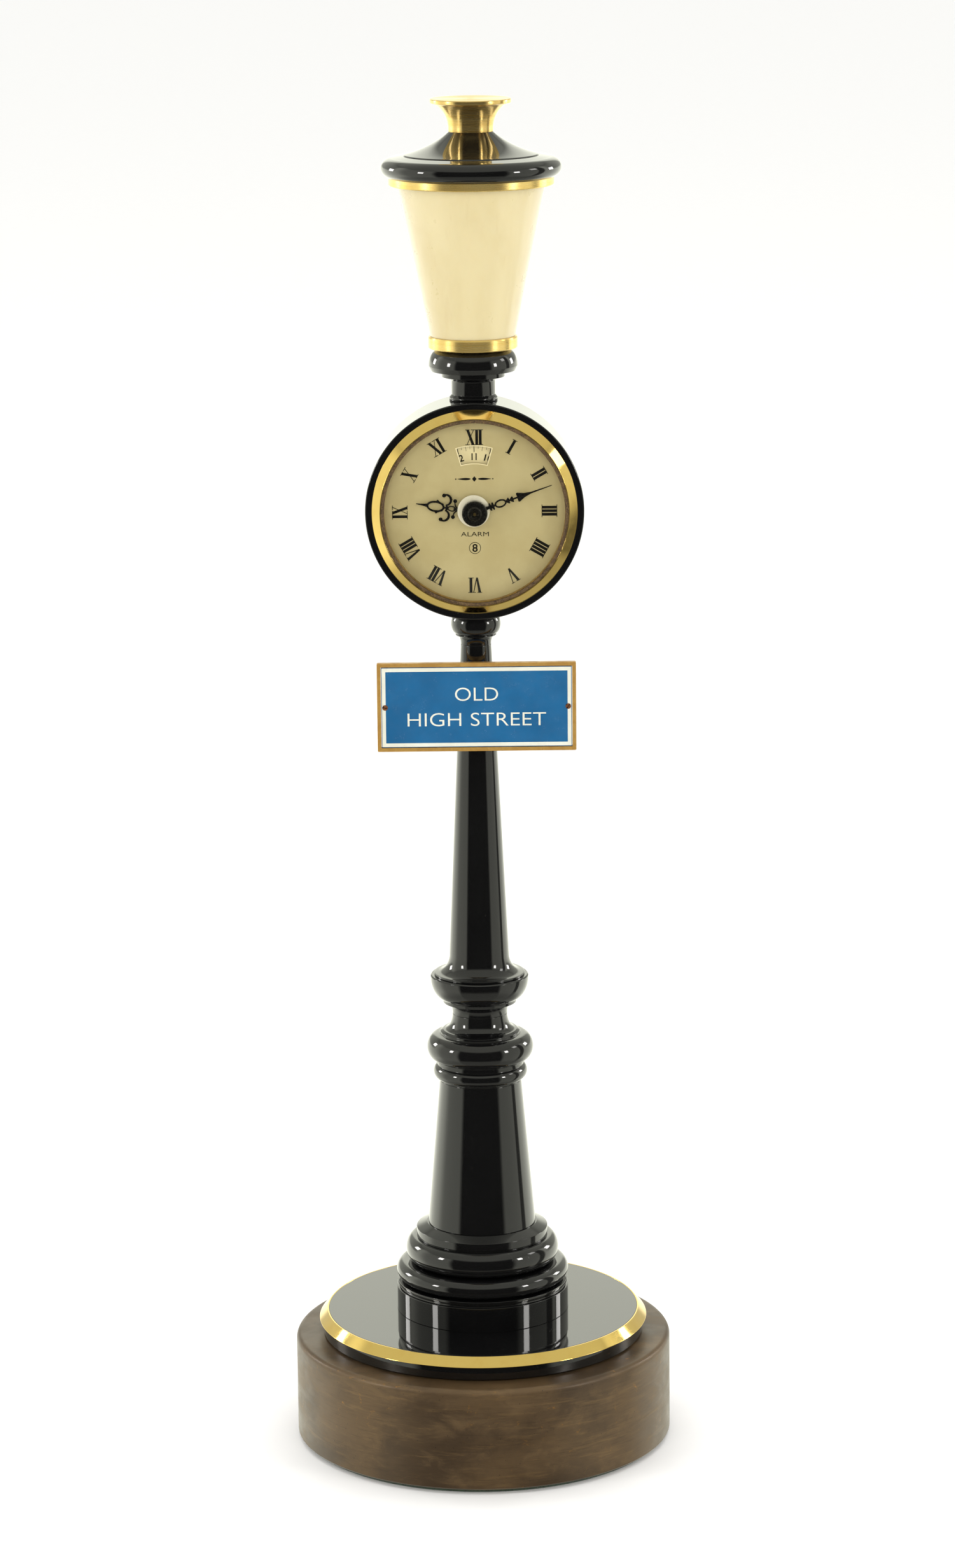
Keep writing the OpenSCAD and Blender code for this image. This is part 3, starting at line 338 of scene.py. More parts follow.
class Finish(Nodes):
    """A material round one Principled shader. Its textures are measured in millimetres."""

    def __init__(self, name, **sockets):
        self.material = bpy.data.materials.new(name)
        self.material.use_nodes = True
        super().__init__(self.material.node_tree)
        self.shader = self.tree.nodes["Principled BSDF"]
        for socket, value in sockets.items():
            self.shader.inputs[socket.replace("_", " ")].default_value = value
        place = self.node("TexCoord").outputs["Object"]
        self.mm = self.vector("SCALE", place, scale=1000)

    def stretch(self, x, y, z):
        return self.vector("MULTIPLY", self.mm, (x, y, z))

    def noise(self, size, detail=3.0, rough=0.55, place=None, warp=0.0):
        inputs = {"Vector": place or self.mm, "Scale": 1 / size, "Detail": detail}
        inputs |= {"Roughness": rough, "Distortion": warp}
        return self.node("TexNoise", inputs).outputs["Fac"]

    def cells(self, size, place=None, feature="F1"):
        inputs = {"Vector": place or self.mm, "Scale": 1 / size}
        return self.node("TexVoronoi", inputs, feature=feature).outputs["Distance"]

    def spots(self, size, edge, full, patch, low, high, detail=2):
        """Spots of one size, kept to patches."""
        here = self.span(self.cells(size), edge, full)
        return self.math("MULTIPLY", here, self.span(self.noise(patch, detail), low, high), clamp=True)

    def mix(self, amount, a, b):
        return self.node("Mix", {0: amount, 6: a, 7: b}, data_type="RGBA", blend_type="MIX").outputs[2]

    def tint(self, where, amount, body, colour):
        return self.mix(self.math("MULTIPLY", where, amount), body, colour)

    def away_from_axis(self, place, axes, along):
        """Radius from an axis and place along it, for the lines that a lathe leaves."""
        parts = self.node("SeparateXYZ", {0: place}).outputs
        flat = self.node("CombineXYZ", {i: parts[i] for i in axes}).outputs[0]
        r = self.node("VectorMath", {0: flat}, operation="LENGTH").outputs["Value"]
        return self.node("CombineXYZ", {0: r, 1: parts[along]}).outputs[0]

    def round_post(self):
        return self.away_from_axis(self.mm, (0, 1), 2)

    def round_clock(self):
        return self.away_from_axis(self.vector("SUBTRACT", self.mm, (0, 0, HEAD_Z)), (0, 2), 1)

    def drive(self, socket, value):
        self.tree.links.new(value, self.shader.inputs[socket])

    def colour(self, value):
        self.drive("Base Color", value)

    def rough(self, value, low, high, to_low, to_high):
        self.drive("Roughness", self.span(value, low, high, to_low, to_high))

    def bumps(self, *heights):
        """Bumps on one another, each a height and its depth in millimetres. Returns the material."""
        normal = None
        for height, depth in heights:
            inputs = {"Height": height, "Distance": depth * MM, "Strength": 1.0}
            if normal is not None:
                inputs["Normal"] = normal
            normal = self.node("Bump", inputs).outputs["Normal"]
        self.drive("Normal", normal)
        return self.material


def black_lacquer():
    f = Finish("black_lacquer", IOR=1.52, Coat_Weight=0.6, Coat_Roughness=0.02, Coat_IOR=1.5)
    cloud = f.noise(9, 4)
    base = f.mix(cloud, srgb(7, 7, 8), srgb(15, 15, 15))
    specks = f.spots(1.5, 0.045, 0.02, 3.2, 0.60, 0.66, 1)
    scratches = f.span(f.cells(2.6, f.stretch(1, 1, 0.12), "DISTANCE_TO_EDGE"), 0.004, 0.0)
    few = f.span(f.noise(7, 2), 0.62, 0.70)
    marks = f.math("MULTIPLY", scratches, few, clamp=True)
    dusty = f.tint(specks, 0.55, base, srgb(150, 146, 136))
    f.colour(f.tint(marks, 0.16, dusty, srgb(120, 118, 110)))
    film = f.span(f.noise(5, 5, 0.7), 0.35, 0.8, 0.035, 0.10)
    f.drive("Roughness", f.math("ADD", film, f.math("MULTIPLY", specks, 0.4)))
    return f.bumps((f.noise(1.4, 2), 0.0016), (f.noise(14, 2), 0.012), (marks, 0.004), (specks, 0.02))


GILT = (1.0, 0.715, 0.215, 1)
WARM_GILT = tuple(c * k for c, k in zip(GILT, (0.93, 0.84, 0.66, 1)))


def gilt(name, place_of):
    """Polished gilding with soft tarnish, small spots and faint lathe lines."""
    f = Finish(name, Metallic=1.0, Coat_Weight=0.25, Coat_Roughness=0.04)
    tarnish = f.span(f.noise(4.5, 5, 0.65), 0.42, 0.75)
    spots = f.spots(1.7, 0.10, 0.03, 5, 0.58, 0.68)
    f.colour(f.tint(spots, 0.5, f.tint(tarnish, 0.45, GILT, WARM_GILT), srgb(120, 78, 30)))
    f.rough(f.noise(3, 5, 0.7), 0.3, 0.75, 0.05, 0.13)
    return f.bumps((f.noise(0.09, 3, 0.7, place_of(f)), 0.0009), (f.noise(6, 2), 0.006))


def satin_brass(name, light, deep, worn_to, rough, metallic):
    """Turned and lacquered, with lathe lines that spread its reflections up and down."""
    f = Finish(name, Metallic=metallic, Anisotropic=0.8, Anisotropic_Rotation=0.25)
    lines = f.noise(0.10, 4, 0.75, f.round_post())
    broad = f.noise(0.9, 3, 0.6, f.round_post())
    cloud = f.noise(6, 4)
    body = f.mix(f.span(broad, 0.35, 0.7), light, deep)
    f.colour(f.mix(f.span(cloud, 0.45, 0.7, 0, 0.5), body, worn_to))
    f.rough(lines, 0.3, 0.7, *rough)
    f.drive("Tangent", f.node("Tangent", direction_type="RADIAL", axis="Z").outputs[0])
    return f.bumps((lines, 0.0035), (broad, 0.004))


def bronze():
    """Brown patina on a brushed plinth: clouds, level streaks and small rubs down to the metal."""
    f = Finish("bronze", IOR=1.5, Coat_Weight=0.15, Coat_Roughness=0.30)
    around = f.stretch(0.10, 0.10, 1.0)
    streaks = f.noise(1.3, 6, 0.68, around, 0.15)
    fine_streaks = f.noise(0.4, 5, 0.7, f.stretch(0.05, 0.05, 1.0))
    clouds = f.noise(15, 5, 0.6, f.stretch(0.7, 0.7, 1.0), 0.3)
    blotches = f.noise(4.5, 6, 0.68, f.stretch(0.45, 0.45, 1.0), 0.5)
    dark, mid, light = srgb(72, 56, 38), srgb(95, 75, 50), srgb(118, 94, 61)
    body = f.mix(f.span(clouds, 0.34, 0.66), dark, mid)
    body = f.mix(f.span(blotches, 0.48, 0.74, 0, 0.5), body, light)
    body = f.mix(f.span(streaks, 0.52, 0.72, 0, 0.34), body, srgb(134, 106, 66))
    body = f.mix(f.span(fine_streaks, 0.5, 0.75, 0, 0.36), body, srgb(50, 37, 22))
    rub_patch = f.span(f.noise(19, 3), 0.47, 0.60)
    rub_here = f.math("MULTIPLY", f.span(f.noise(4.2, 4, 0.7, warp=1.5), 0.60, 0.70), rub_patch, clamp=True)
    rub_grain = f.span(f.noise(0.35, 4, 0.75, f.stretch(0.35, 0.35, 1)), 0.45, 0.62)
    rubs = f.math("MULTIPLY", rub_here, rub_grain, clamp=True)
    pits = f.spots(1.1, 0.16, 0.06, 2.5, 0.5, 0.62)
    body = f.tint(rubs, 0.7, body, srgb(176, 126, 62))
    f.colour(f.tint(pits, 0.6, body, srgb(36, 27, 17)))
    f.drive("Metallic", f.math("ADD", f.math("MULTIPLY", rubs, 0.45), 0.4))
    f.rough(blotches, 0.3, 0.75, 0.34, 0.50)
    return f.bumps((fine_streaks, 0.008), (streaks, 0.008), (pits, 0.02), (f.noise(0.25, 2), 0.004))


def shade_enamel():
    """Cream enamel, a little luminous at its edges, with clouds and faint upright streaks."""
    f = Finish(
        "shade_enamel", IOR=1.5, Coat_Weight=0.5, Coat_Roughness=0.12, Sheen_Weight=0.55,
        Sheen_Roughness=0.42, Subsurface_Weight=0.25, Subsurface_Scale=0.003,
        Subsurface_Radius=(1.0, 0.75, 0.45),
    )
    cloud = f.noise(16, 4, 0.6, f.stretch(1, 1, 0.5), 0.4)
    freckle = f.spots(2.4, 0.05, 0.02, 8, 0.56, 0.66)
    body = f.mix(f.span(cloud, 0.35, 0.68), srgb(204, 190, 147), srgb(196, 180, 134))
    streak = f.span(f.noise(2.4, 4, 0.6, f.stretch(1, 1, 0.07)), 0.56, 0.75, 0, 0.22)
    body = f.mix(streak, body, srgb(186, 164, 116))
    f.colour(f.tint(freckle, 0.14, body, srgb(150, 120, 76)))
    f.rough(f.noise(6, 5, 0.7), 0.3, 0.75, 0.26, 0.40)
    return f.bumps((f.noise(0.8, 3), 0.0025), (f.noise(20, 2), 0.02))


def dial_paint():
    f = Finish("dial_paint", IOR=1.45)
    fine = f.noise(0.16, 3, 0.6)
    cloud = f.noise(8, 5, 0.6)
    body = f.mix(f.span(cloud, 0.35, 0.7), srgb(176, 164, 121), srgb(169, 156, 112))
    body = f.mix(f.span(fine, 0.45, 0.75, 0, 0.25), body, srgb(154, 140, 97))
    spot = f.spots(1.9, 0.05, 0.02, 4, 0.58, 0.68)
    f.colour(f.tint(spot, 0.5, body, srgb(120, 94, 52)))
    f.rough(fine, 0.3, 0.7, 0.48, 0.62)
    return f.bumps((fine, 0.002), (cloud, 0.004))


def ink():
    f = Finish("dial_ink", IOR=1.5)
    fine = f.noise(0.12, 3)
    f.colour(f.mix(f.span(fine, 0.45, 0.8), srgb(14, 13, 12), srgb(27, 25.5, 24)))
    f.rough(f.noise(0.5, 3), 0.3, 0.7, 0.30, 0.5)
    return f.bumps((fine, 0.002), (f.noise(1.1, 2), 0.004))


def hand_black():
    """Enamelled hands: softly glossy, with dust and worn edges."""
    f = Finish("hand_black", IOR=1.5, Coat_Weight=0.3, Coat_Roughness=0.1)
    dust = f.spots(0.55, 0.09, 0.03, 1.5, 0.52, 0.64)
    body = f.mix(f.noise(0.8, 3), srgb(9, 9, 9), srgb(22, 21, 19))
    f.colour(f.tint(dust, 0.5, body, srgb(150, 140, 120)))
    f.rough(f.noise(0.6, 4), 0.3, 0.75, 0.2, 0.42)
    return f.bumps((f.noise(0.3, 3), 0.004), (dust, 0.01))


def enamel(name, colour, deep, rough=(0.16, 0.3)):
    """Stoved enamel on the name plate: even, with faint orange peel and small chips of dirt."""
    f = Finish(name, IOR=1.5, Coat_Weight=0.25, Coat_Roughness=0.08)
    cloud = f.noise(7, 5, 0.6)
    body = f.mix(f.span(cloud, 0.3, 0.72), srgb(*colour), srgb(*deep))
    dirt = f.spots(1.3, 0.055, 0.02, 3.5, 0.56, 0.66)
    streak = f.span(f.noise(1.2, 4, 0.7, f.stretch(0.15, 1, 1)), 0.58, 0.78, 0, 0.12)
    body = f.mix(streak, body, srgb(*[c * 0.8 for c in colour]))
    f.colour(f.tint(dirt, 0.45, body, srgb(60, 50, 40)))
    f.rough(f.noise(2.5, 5, 0.7), 0.3, 0.75, *rough)
    return f.bumps((f.noise(0.9, 2), 0.003), (f.noise(10, 2), 0.01))


def aged_brass():
    """Dull yellow brass, brushed along the frame, darker in patches."""
    f = Finish("aged_brass", Metallic=0.45)
    brushed = f.noise(0.12, 4, 0.7, f.stretch(0.08, 1, 1))
    patches = f.noise(2.4, 6, 0.65, warp=0.6)
    body = f.mix(f.span(patches, 0.35, 0.66), (0.55, 0.32, 0.08, 1), (0.46, 0.25, 0.055, 1))
    body = f.mix(f.span(brushed, 0.5, 0.75, 0, 0.4), body, (0.36, 0.2, 0.05, 1))
    spots = f.spots(0.8, 0.2, 0.06, 1.6, 0.54, 0.64, 3)
    f.colour(f.tint(spots, 0.7, body, (0.20, 0.11, 0.045, 1)))
    f.rough(patches, 0.3, 0.7, 0.30, 0.48)
    return f.bumps((brushed, 0.004), (spots, 0.008))


def rust():
    f = Finish("aged_screw", Metallic=0.35)
    grain = f.noise(0.16, 5, 0.7)
    body = f.mix(f.span(grain, 0.35, 0.65), srgb(70, 42, 24), srgb(150, 92, 48))
    f.colour(f.mix(f.span(f.noise(0.35, 3), 0.52, 0.66), body, srgb(34, 24, 18)))
    f.rough(grain, 0.3, 0.7, 0.5, 0.85)
    return f.bumps((grain, 0.02))


def gasket():
    """Aged seating ring, brown with pale specks."""
    f = Finish("gasket", IOR=1.45)
    speck = f.noise(0.22, 4, 0.72)
    patch = f.noise(1.6, 3, 0.6)
    body = f.mix(f.span(patch, 0.35, 0.68), srgb(84, 64, 38), srgb(62, 46, 27))
    body = f.mix(f.span(speck, 0.50, 0.66), body, srgb(122, 98, 60))
    f.colour(f.mix(f.span(f.noise(0.3, 3), 0.55, 0.68), body, srgb(44, 30, 20)))
    f.rough(speck, 0.3, 0.7, 0.5, 0.75)
    return f.bumps((speck, 0.02), (patch, 0.03))


def flange_brass():
    """The matt ring between the dial and the crystal, with lathe lines."""
    f = Finish("flange_brass", Metallic=0.75)
    lines = f.noise(0.08, 4, 0.7, f.round_clock())
    grime = f.noise(1.3, 5, 0.65)
    body = f.mix(f.span(grime, 0.4, 0.7), srgb(196, 160, 88), srgb(132, 100, 54))
    f.colour(f.mix(f.span(lines, 0.5, 0.7, 0, 0.4), body, srgb(96, 70, 38)))
    f.rough(lines, 0.3, 0.7, 0.3, 0.5)
    return f.bumps((lines, 0.004))


def metal(name, light, dark, rough, place_of=None):
    """Turned or brushed metal for the movement, its rods and its knobs."""
    f = Finish(name, Metallic=1.0)
    lines = f.noise(0.1, 4, 0.7, place_of(f) if place_of else f.stretch(1, 0.1, 1))
    cloud = f.noise(2.2, 5, 0.62)
    body = f.mix(f.span(lines, 0.4, 0.7), light, dark)
    f.colour(f.mix(f.span(cloud, 0.6, 0.78, 0, 0.4), body, srgb(60, 52, 40)))
    f.rough(cloud, 0.3, 0.75, *rough)
    return f.bumps((lines, 0.003), (cloud, 0.004))


def felt():
    f = Finish("felt", Sheen_Weight=0.5, Sheen_Roughness=0.6, IOR=1.3)
    fibre = f.noise(0.3, 5, 0.75, f.stretch(1, 1, 0.35), 1.2)
    patch = f.noise(4, 3)
    body = f.mix(f.span(fibre, 0.35, 0.68), srgb(26, 40, 28), srgb(54, 74, 52))
    f.colour(f.mix(f.span(patch, 0.45, 0.7, 0, 0.4), body, srgb(38, 44, 34)))
    f.rough(fibre, 0.3, 0.7, 0.85, 1.0)
    return f.bumps((fibre, 0.08))


def crystal_glass():
    """Clear glass with a film of dust. What isn't mirrored passes straight through, on either face."""
    material = bpy.data.materials.new("crystal_glass")
    material.use_nodes = True
    material.node_tree.nodes.clear()
    f = Nodes(material.node_tree)
    place = f.node("TexCoord").outputs["Object"]
    smear = f.node("TexNoise", {"Vector": place, "Scale": 220, "Detail": 5}).outputs["Fac"]
    rough = f.node("MapRange", {"Value": smear, "To Min": 0.01, "To Max": 0.07}).outputs[0]
    steep = f.math("POWER", f.node("LayerWeight", {"Blend": 0.5}).outputs["Facing"], 5)
    mirrored_part = f.node("MapRange", {"Value": steep, "To Min": 0.022, "To Max": 0.9}).outputs[0]
    clear = f.node("BsdfTransparent", {0: (0.985, 0.98, 0.955, 1)}).outputs[0]
    gloss = f.node("BsdfGlossy", {"Color": (1, 1, 1, 1), "Roughness": rough}).outputs[0]
    both = f.node("MixShader", {0: mirrored_part, 1: clear, 2: gloss}).outputs[0]
    f.node("OutputMaterial", {"Surface": both})
    return material


M = {
    "lacquer": black_lacquer(),
    "gilt": gilt("gilt", Finish.round_post),
    "gilt_bezel": gilt("gilt_bezel", Finish.round_clock),
    "satin_gilt": satin_brass(
        "satin_gilt", (1.0, 0.74, 0.27, 1), (0.95, 0.66, 0.2, 1), (0.86, 0.56, 0.15, 1), (0.22, 0.34), 0.86
    ),
    "satin": satin_brass(
        "satin_brass", (1.0, 0.72, 0.27, 1), (0.90, 0.60, 0.19, 1), (0.80, 0.50, 0.15, 1), (0.18, 0.32), 0.95
    ),
    "bronze": bronze(),
    "shade": shade_enamel(),
    "dial": dial_paint(),
    "ink": ink(),
    "disc": enamel("alarm_enamel", (212, 202, 162), (203, 190, 146), (0.35, 0.5)),
    # The window bevel's pale cream, lighter than the dial, is a painted highlight: the light caught by the
    # window's cut edge.
    "bevel_highlight": enamel("window_bevel_painted_highlight", (228, 218, 182), (214, 202, 160), (0.3, 0.45)),
    # The hand boss's pale cream is a painted reflection: it stands for the bright wall mirrored in the glossy
    # boss.
    "boss_painted_reflection": enamel("hand_boss_painted_reflection", (222, 218, 200), (204, 198, 178), (0.25, 0.4)),
    "hands": hand_black(),
    "blue": enamel("sign_blue", (27, 92, 137), (23, 84, 127)),
    "white": enamel("sign_white", (212, 213, 200), (203, 203, 188)),
    "aged": aged_brass(),
    "rust": rust(),
    "gasket": gasket(),
    "flange": flange_brass(),
    "glass": crystal_glass(),
    "felt": felt(),
    "steel": metal("steel", (0.62, 0.62, 0.64, 1), (0.42, 0.42, 0.44, 1), (0.22, 0.4)),
    "blued": metal("blued_steel", (0.05, 0.075, 0.19, 1), (0.03, 0.045, 0.12, 1), (0.2, 0.35)),
    "movement": metal(
        "movement_brass", (0.80, 0.60, 0.26, 1), (0.62, 0.44, 0.17, 1), (0.24, 0.42), Finish.round_clock
    ),
    "knob": metal(
        "knob_brass", (0.86, 0.62, 0.25, 1), (0.68, 0.46, 0.16, 1), (0.16, 0.32), Finish.round_clock
    ),
}


# ---------------- base and post
STAND = "stand"
BORE = N["tie_rod"].r + 0.1


def lift(outline, z):
    return [(r, h + z) for r, h in outline]


def bored(outline, bore, z):
    """Closes an outline that runs from the foot up along a bore, and lifts it to z."""
    return lift([(bore, outline[0][1])] + outline + [(bore, outline[-1][1])], z)


def stacked(node, outline):
    """A black piece of the post: its outline runs from the foot up, round the tie rod."""
    loop = bored(outline, BORE, N[node].bottom)
    return turned_ring(node + "_turned", loop, 0.13, "lacquer", STAND, "black_lacquer", node)


def base_pieces():
    p, pad, disc, ring = N["plinth"], N["felt_pad"], N["base_disc"], N["base_ring"]
    edge, pocket_r, pocket_h = 1.3, 7.0, 7.0
    h = p.height
    outline = [(pocket_r, 0), (p.r - 0.4, 0), (p.r, 0.4)]
    outline += arc((p.r - edge, h - edge), edge, edge, 0, 90)
    outline += [(BORE, h), (BORE, pocket_h), (pocket_r, pocket_h)]
    turned_ring("plinth_turned", lift(outline, p.bottom), 0.12, "bronze", STAND, "bronze", "plinth")

    pad_outline = soften([(0, 0), (pad.r, 0), (pad.r, pad.height), (0, pad.height)], 0.25)
    turned("felt_pad_cut", pad_outline, M["felt"], STAND, "felt", "felt_pad")

    slope, lap = 1.88, 0.28
    ring_h, seat_r = ring.height, ring.r - slope - lap
    outline = [(disc.r - 0.7, 0), (disc.r - 0.7, 0.35), (disc.r, 0.35), (disc.r, disc.height - ring_h)]
    outline += [(seat_r, disc.height - ring_h), (seat_r, disc.height)]
    stacked("base_disc", outline)

    slant = [(seat_r, 0), (ring.r, 0), (ring.r - slope, ring_h), (seat_r, ring_h)]
    turned_ring("base_ring_turned", lift(slant, ring.bottom), 0.08, "gilt", STAND, "gilt", "base_ring")


def pedestal():
    p = N["pedestal"]
    r, h, foot = p.r, p.height, N["lower_shaft"].r
    bead_1, bead_2, z1 = (h - 7) * 0.16, (h - 7) * 0.222, 7
    z2 = z1 + 2 * bead_1
    z3 = z2 + 2 * bead_2
    outline = [(r, 0), (r, 5.5), (r - 0.6, 5.6), (r - 0.6, 6.1), (r - 0.2, 6.2), (r - 0.2, 6.9)]
    outline += arc((r - 2.1, z1 + bead_1), 2.1, bead_1, -90, 90, 20)
    outline += arc((r - 4.3, z2 + bead_2), 2.1, bead_2, -90, 90, 20)
    outline += [(r - 4.9, z3), (r - 4.6, z3 + 0.3), (r - 4.6, h - 1.1), (foot + 0.3, h)]
    stacked("pedestal", outline)


def shafts_and_knop():
    lower, knop, collar, upper = N["lower_shaft"], N["knop"], N["upper_collar"], N["upper_shaft"]
    top_r, waist = 9.11, 6.1
    stacked("lower_shaft", [(lower.r, 0), (top_r, lower.height)])

    ring_half, bead_half = 1.65, 3.0
    bead_z = 2 * ring_half + 1.3 + bead_half
    outline = [(top_r, 0), (top_r, 0.35)]
    outline += arc((top_r, 0.35 + ring_half), 1.35, ring_half, -60, 70, 18)
    outline += [(top_r + 0.4, 4.5)]
    outline += arc((knop.r - 2.36, bead_z), 2.36, bead_half, -80, 90, 24)
    outline += [(knop.r - 2.9, bead_z + bead_half + 0.1), (knop.r - 3, bead_z + bead_half + 0.6)]
    outline += arc((waist + 2.1, knop.height), 2.1, knop.height - bead_z - bead_half - 1, 270, 180, 16)
    stacked("knop", outline)

    bowl_h = collar.height - 0.7
    outline = arc((waist + 1.5, 0), 1.5, 2.6, 180, 90, 14)
    outline += [(waist + 2.1, 2.6), (waist + 2.2, 3.3)]
    outline += arc((collar.r - 3.5, bowl_h), 3.5, bowl_h - 3.2, -68, 0, 16)
    outline += [(collar.r, collar.height - 0.25), (collar.r - 0.25, collar.height)]
    stacked("upper_collar", outline)

    flare_r, flare_h, shaft_top = upper.r - 0.45, 4.7, 3.35
    outline = [(upper.r, 0), (upper.r, 0.5)]
    outline += arc((flare_r, flare_h), 2.98, flare_h - 0.6, 270, 180, 16)
    outline += [(shaft_top, upper.height)]
    stacked("upper_shaft", outline)


def seat_on_drum(piece, below):
    """Shapes the end of a collar to the round of the clock's case."""
    reach = N["case_drum"].r
    for vertex in piece.data.vertices:
        x, z = vertex.co.x / MM, vertex.co.z / MM
        surface = math.sqrt(reach ** 2 - min(abs(x), reach) ** 2)
        level = HEAD_Z - surface if below else HEAD_Z + surface
        if (below and z > level) or (not below and z < level):
            vertex.co.z = level * MM


def collars_at_the_clock():
    node, shaft_top = N["top_collar"], 3.35
    height = HEAD_Z - N["case_drum"].r - node.bottom
    lip, bead_z, bead_r = shaft_top + 1.15, height - 2.05, node.r
    outline = arc((lip - 0.15, 0), 1, 2, 180, 90, 12)
    outline += [(lip, 2), (lip, 2.35)]
    outline += arc((bead_r - 1.15, bead_z), 1.15, bead_z - 2.4, -90, 0, 14)
    outline += arc((bead_r - 1.15, bead_z), 1.15, 2.1, 10, 90, 14)
    outline += [(bead_r - 1.15, height + 1.5)]
    piece = stacked("top_collar", outline)
    seat_on_drum(piece, below=True)

    cup = N["lantern_cup"]
    drum_top = HEAD_Z + N["case_drum"].r
    cup_h, neck, neck_h, bore = cup.top - drum_top, 4.75, 3.75, N["lantern_rod"].r + 0.1
    lip_z = cup_h - 4.9
    outline = [(neck + 0.5, -1.2), (neck + 0.5, 0.4), (neck, 1), (neck, neck_h)]
    outline += arc((neck + 1.75, neck_h), 1.75, 1, 180, 90, 12)
    outline += [(neck + 2.1, neck_h + 1.1), (neck + 2.1, lip_z - 0.15), (cup.r - 0.5, lip_z)]
    outline += arc((cup.r - 2.25, lip_z + 1.1), 2.25, cup_h - lip_z - 1.3, 0, 80, 18)
    outline += [(cup.r - 1.9, cup_h)]
    loop = bored(outline, bore, drum_top)
    piece = turned_ring("lantern_cup_turned", loop, 0.12, "lacquer", STAND, "black_lacquer", "lantern_cup")
    seat_on_drum(piece, below=False)


# ---------------- lantern
def lantern():
    bore = N["lantern_rod"].r + 0.1
    rings, shade, roof, top = N["shade_rings"], N["shade"], N["roof"], N["finial"]
    low_r, low_h = 9.63, shade.bottom - rings.bottom
    low = [(low_r - 0.2, 0), (low_r, 0.2), (low_r, low_h - 0.35), (low_r - 0.15, low_h)]
    high_h = rings.top - shade.top
    high = [(rings.r - 0.2, 0), (rings.r, 0.2), (rings.r, high_h)]
    for name, outline, z in (("lower_shade_ring", low, rings.bottom), ("upper_shade_ring", high, shade.top)):
        turned_ring(name, bored(outline, bore, z), 0.1, "satin_gilt", STAND, "gilt", "shade_rings")

    foot, wall = 9.2, 1.0
    cone = [(foot - wall, 0), (foot, 0), (shade.r, shade.height), (shade.r - wall, shade.height)]
    turned_ring("shade_turned", lift(cone, shade.bottom), 0.15, "shade", STAND, "shade_enamel", "shade")

    skirt, brim, stem, brim_in = 0.8, 2.15, 4.8, roof.r - 2.55
    base = roof.bottom + skirt
    h = roof.top - base
    under = rings.r + 0.05
    outline = [(bore, 0), (under, 0), (under, -skirt)]
    outline += arc((brim_in, brim - skirt), 2.55, brim, -60, 90, 22)
    outline += [(brim_in - 1.9, 2 * brim - skirt + 0.35), (brim_in - 2.2, 2 * brim - skirt + 0.3)]
    outline += sweep((brim_in - 2.5, 2 * brim - skirt + 0.6), (brim_in - 8.4, h - 3.3), (stem, h), 24)
    outline += [(bore, h)]
    turned_ring("roof_turned", lift(outline, base), 0.12, "lacquer", STAND, "black_lacquer", "roof")

    rim, h = 0.85, top.height
    outline = [(0, 0), (stem, 0), (stem, 0.6)]
    outline += sweep((stem, 0.6), (stem + 0.1, h - 3.1), (top.r - 1.3, h - rim - 0.35), 24)
    outline += [(top.r, h - rim), (top.r, h - 0.15), (top.r - 0.15, h), (0, h)]
    turned("finial_turned", soften(lift(outline, top.bottom), 0.1), M["satin"], STAND, "gilt", "finial")


# ---------------- clock case
ON_CASE = {"at": HEAD, "segments": 256}


def case_pieces():
    drum, bezel, glass, cover = N["case_drum"], N["bezel"], N["crystal"], N["back_cover"]
    edge, slant = 0.35, 2.0
    rim, front = cover.r, drum.front
    inner = rim - 0.8
    outline = [(inner, -front)] + arc((drum.r - edge, edge - front), edge, edge, -90, 0, 10)
    outline += arc((drum.r - edge, front - edge), edge, edge, 0, 90, 10) + [(inner, front)]
    turned_ring("case_drum_turned", outline, 0.08, "lacquer", STAND, "black_lacquer", "case_drum", **ON_CASE)

    opening = rim - slant
    outline = [(opening, bezel.front), (opening + 0.15, bezel.front), (rim, front), (inner, front)]
    outline += [(inner, front - 1.8), (opening, front - 1.8)]
    turned_ring("bezel_turned", outline, 0.1, "gilt_bezel", STAND, "gilt", "bezel", **ON_CASE)

    seat = N["crystal_gasket"]
    ring_in = glass.r - 0.75
    outline = [(ring_in, seat.back), (opening, seat.back), (opening, seat.front), (ring_in, seat.front)]
    name = "crystal_gasket"
    turned_ring(name + "_turned", outline, 0.12, "gasket", STAND, "gasket", name, **ON_CASE)

    foot, dome, thick, back = ring_in - 0.05, 3.5, 0.8, glass.back
    ball = (foot ** 2 + dome ** 2) / (2 * dome)
    middle = seat.back + dome - ball
    outer_a = math.degrees(math.asin(foot / ball))
    inner_a = math.degrees(math.acos((back - middle) / (ball - thick)))
    outline = [(glass.r, back), (glass.r, seat.back)]
    outline += arc((0, middle), ball, ball, 90 - outer_a, 90, 40)[:-1] + [(0, middle + ball)]
    lower = arc((0, middle), ball - thick, ball - thick, 90, 90 - inner_a, 40)
    outline += [(0, lower[0][1])] + lower[1:] + [(glass.r, back)]
    placing = {"at": HEAD, "closed": True, "segments": 128}
    turned("crystal_turned", outline[:-1], M["glass"], STAND, "crystal_glass", "crystal", **placing)

    flange = N["dial_flange"]
    back, front = flange.back, flange.front
    outline = [(ring_in, back), (flange.r, back), (flange.r, front), (ring_in, front)]
    name = "dial_flange"
    turned_ring(name + "_turned", outline, 0.06, "flange", STAND, "flange_brass", name, **ON_CASE)


# ---------------- dial
DIAL_FRONT = N["dial_flange"].back
DIAL_BACK = DIAL_FRONT - 0.4
WINDOW_OUT, WINDOW_IN, WINDOW_HALF = 14.2, 10.55, 15.3
WINDOW_MID = (WINDOW_OUT + WINDOW_IN) / 2 + 0.025
ARBOR_HOLE_R = 1.3


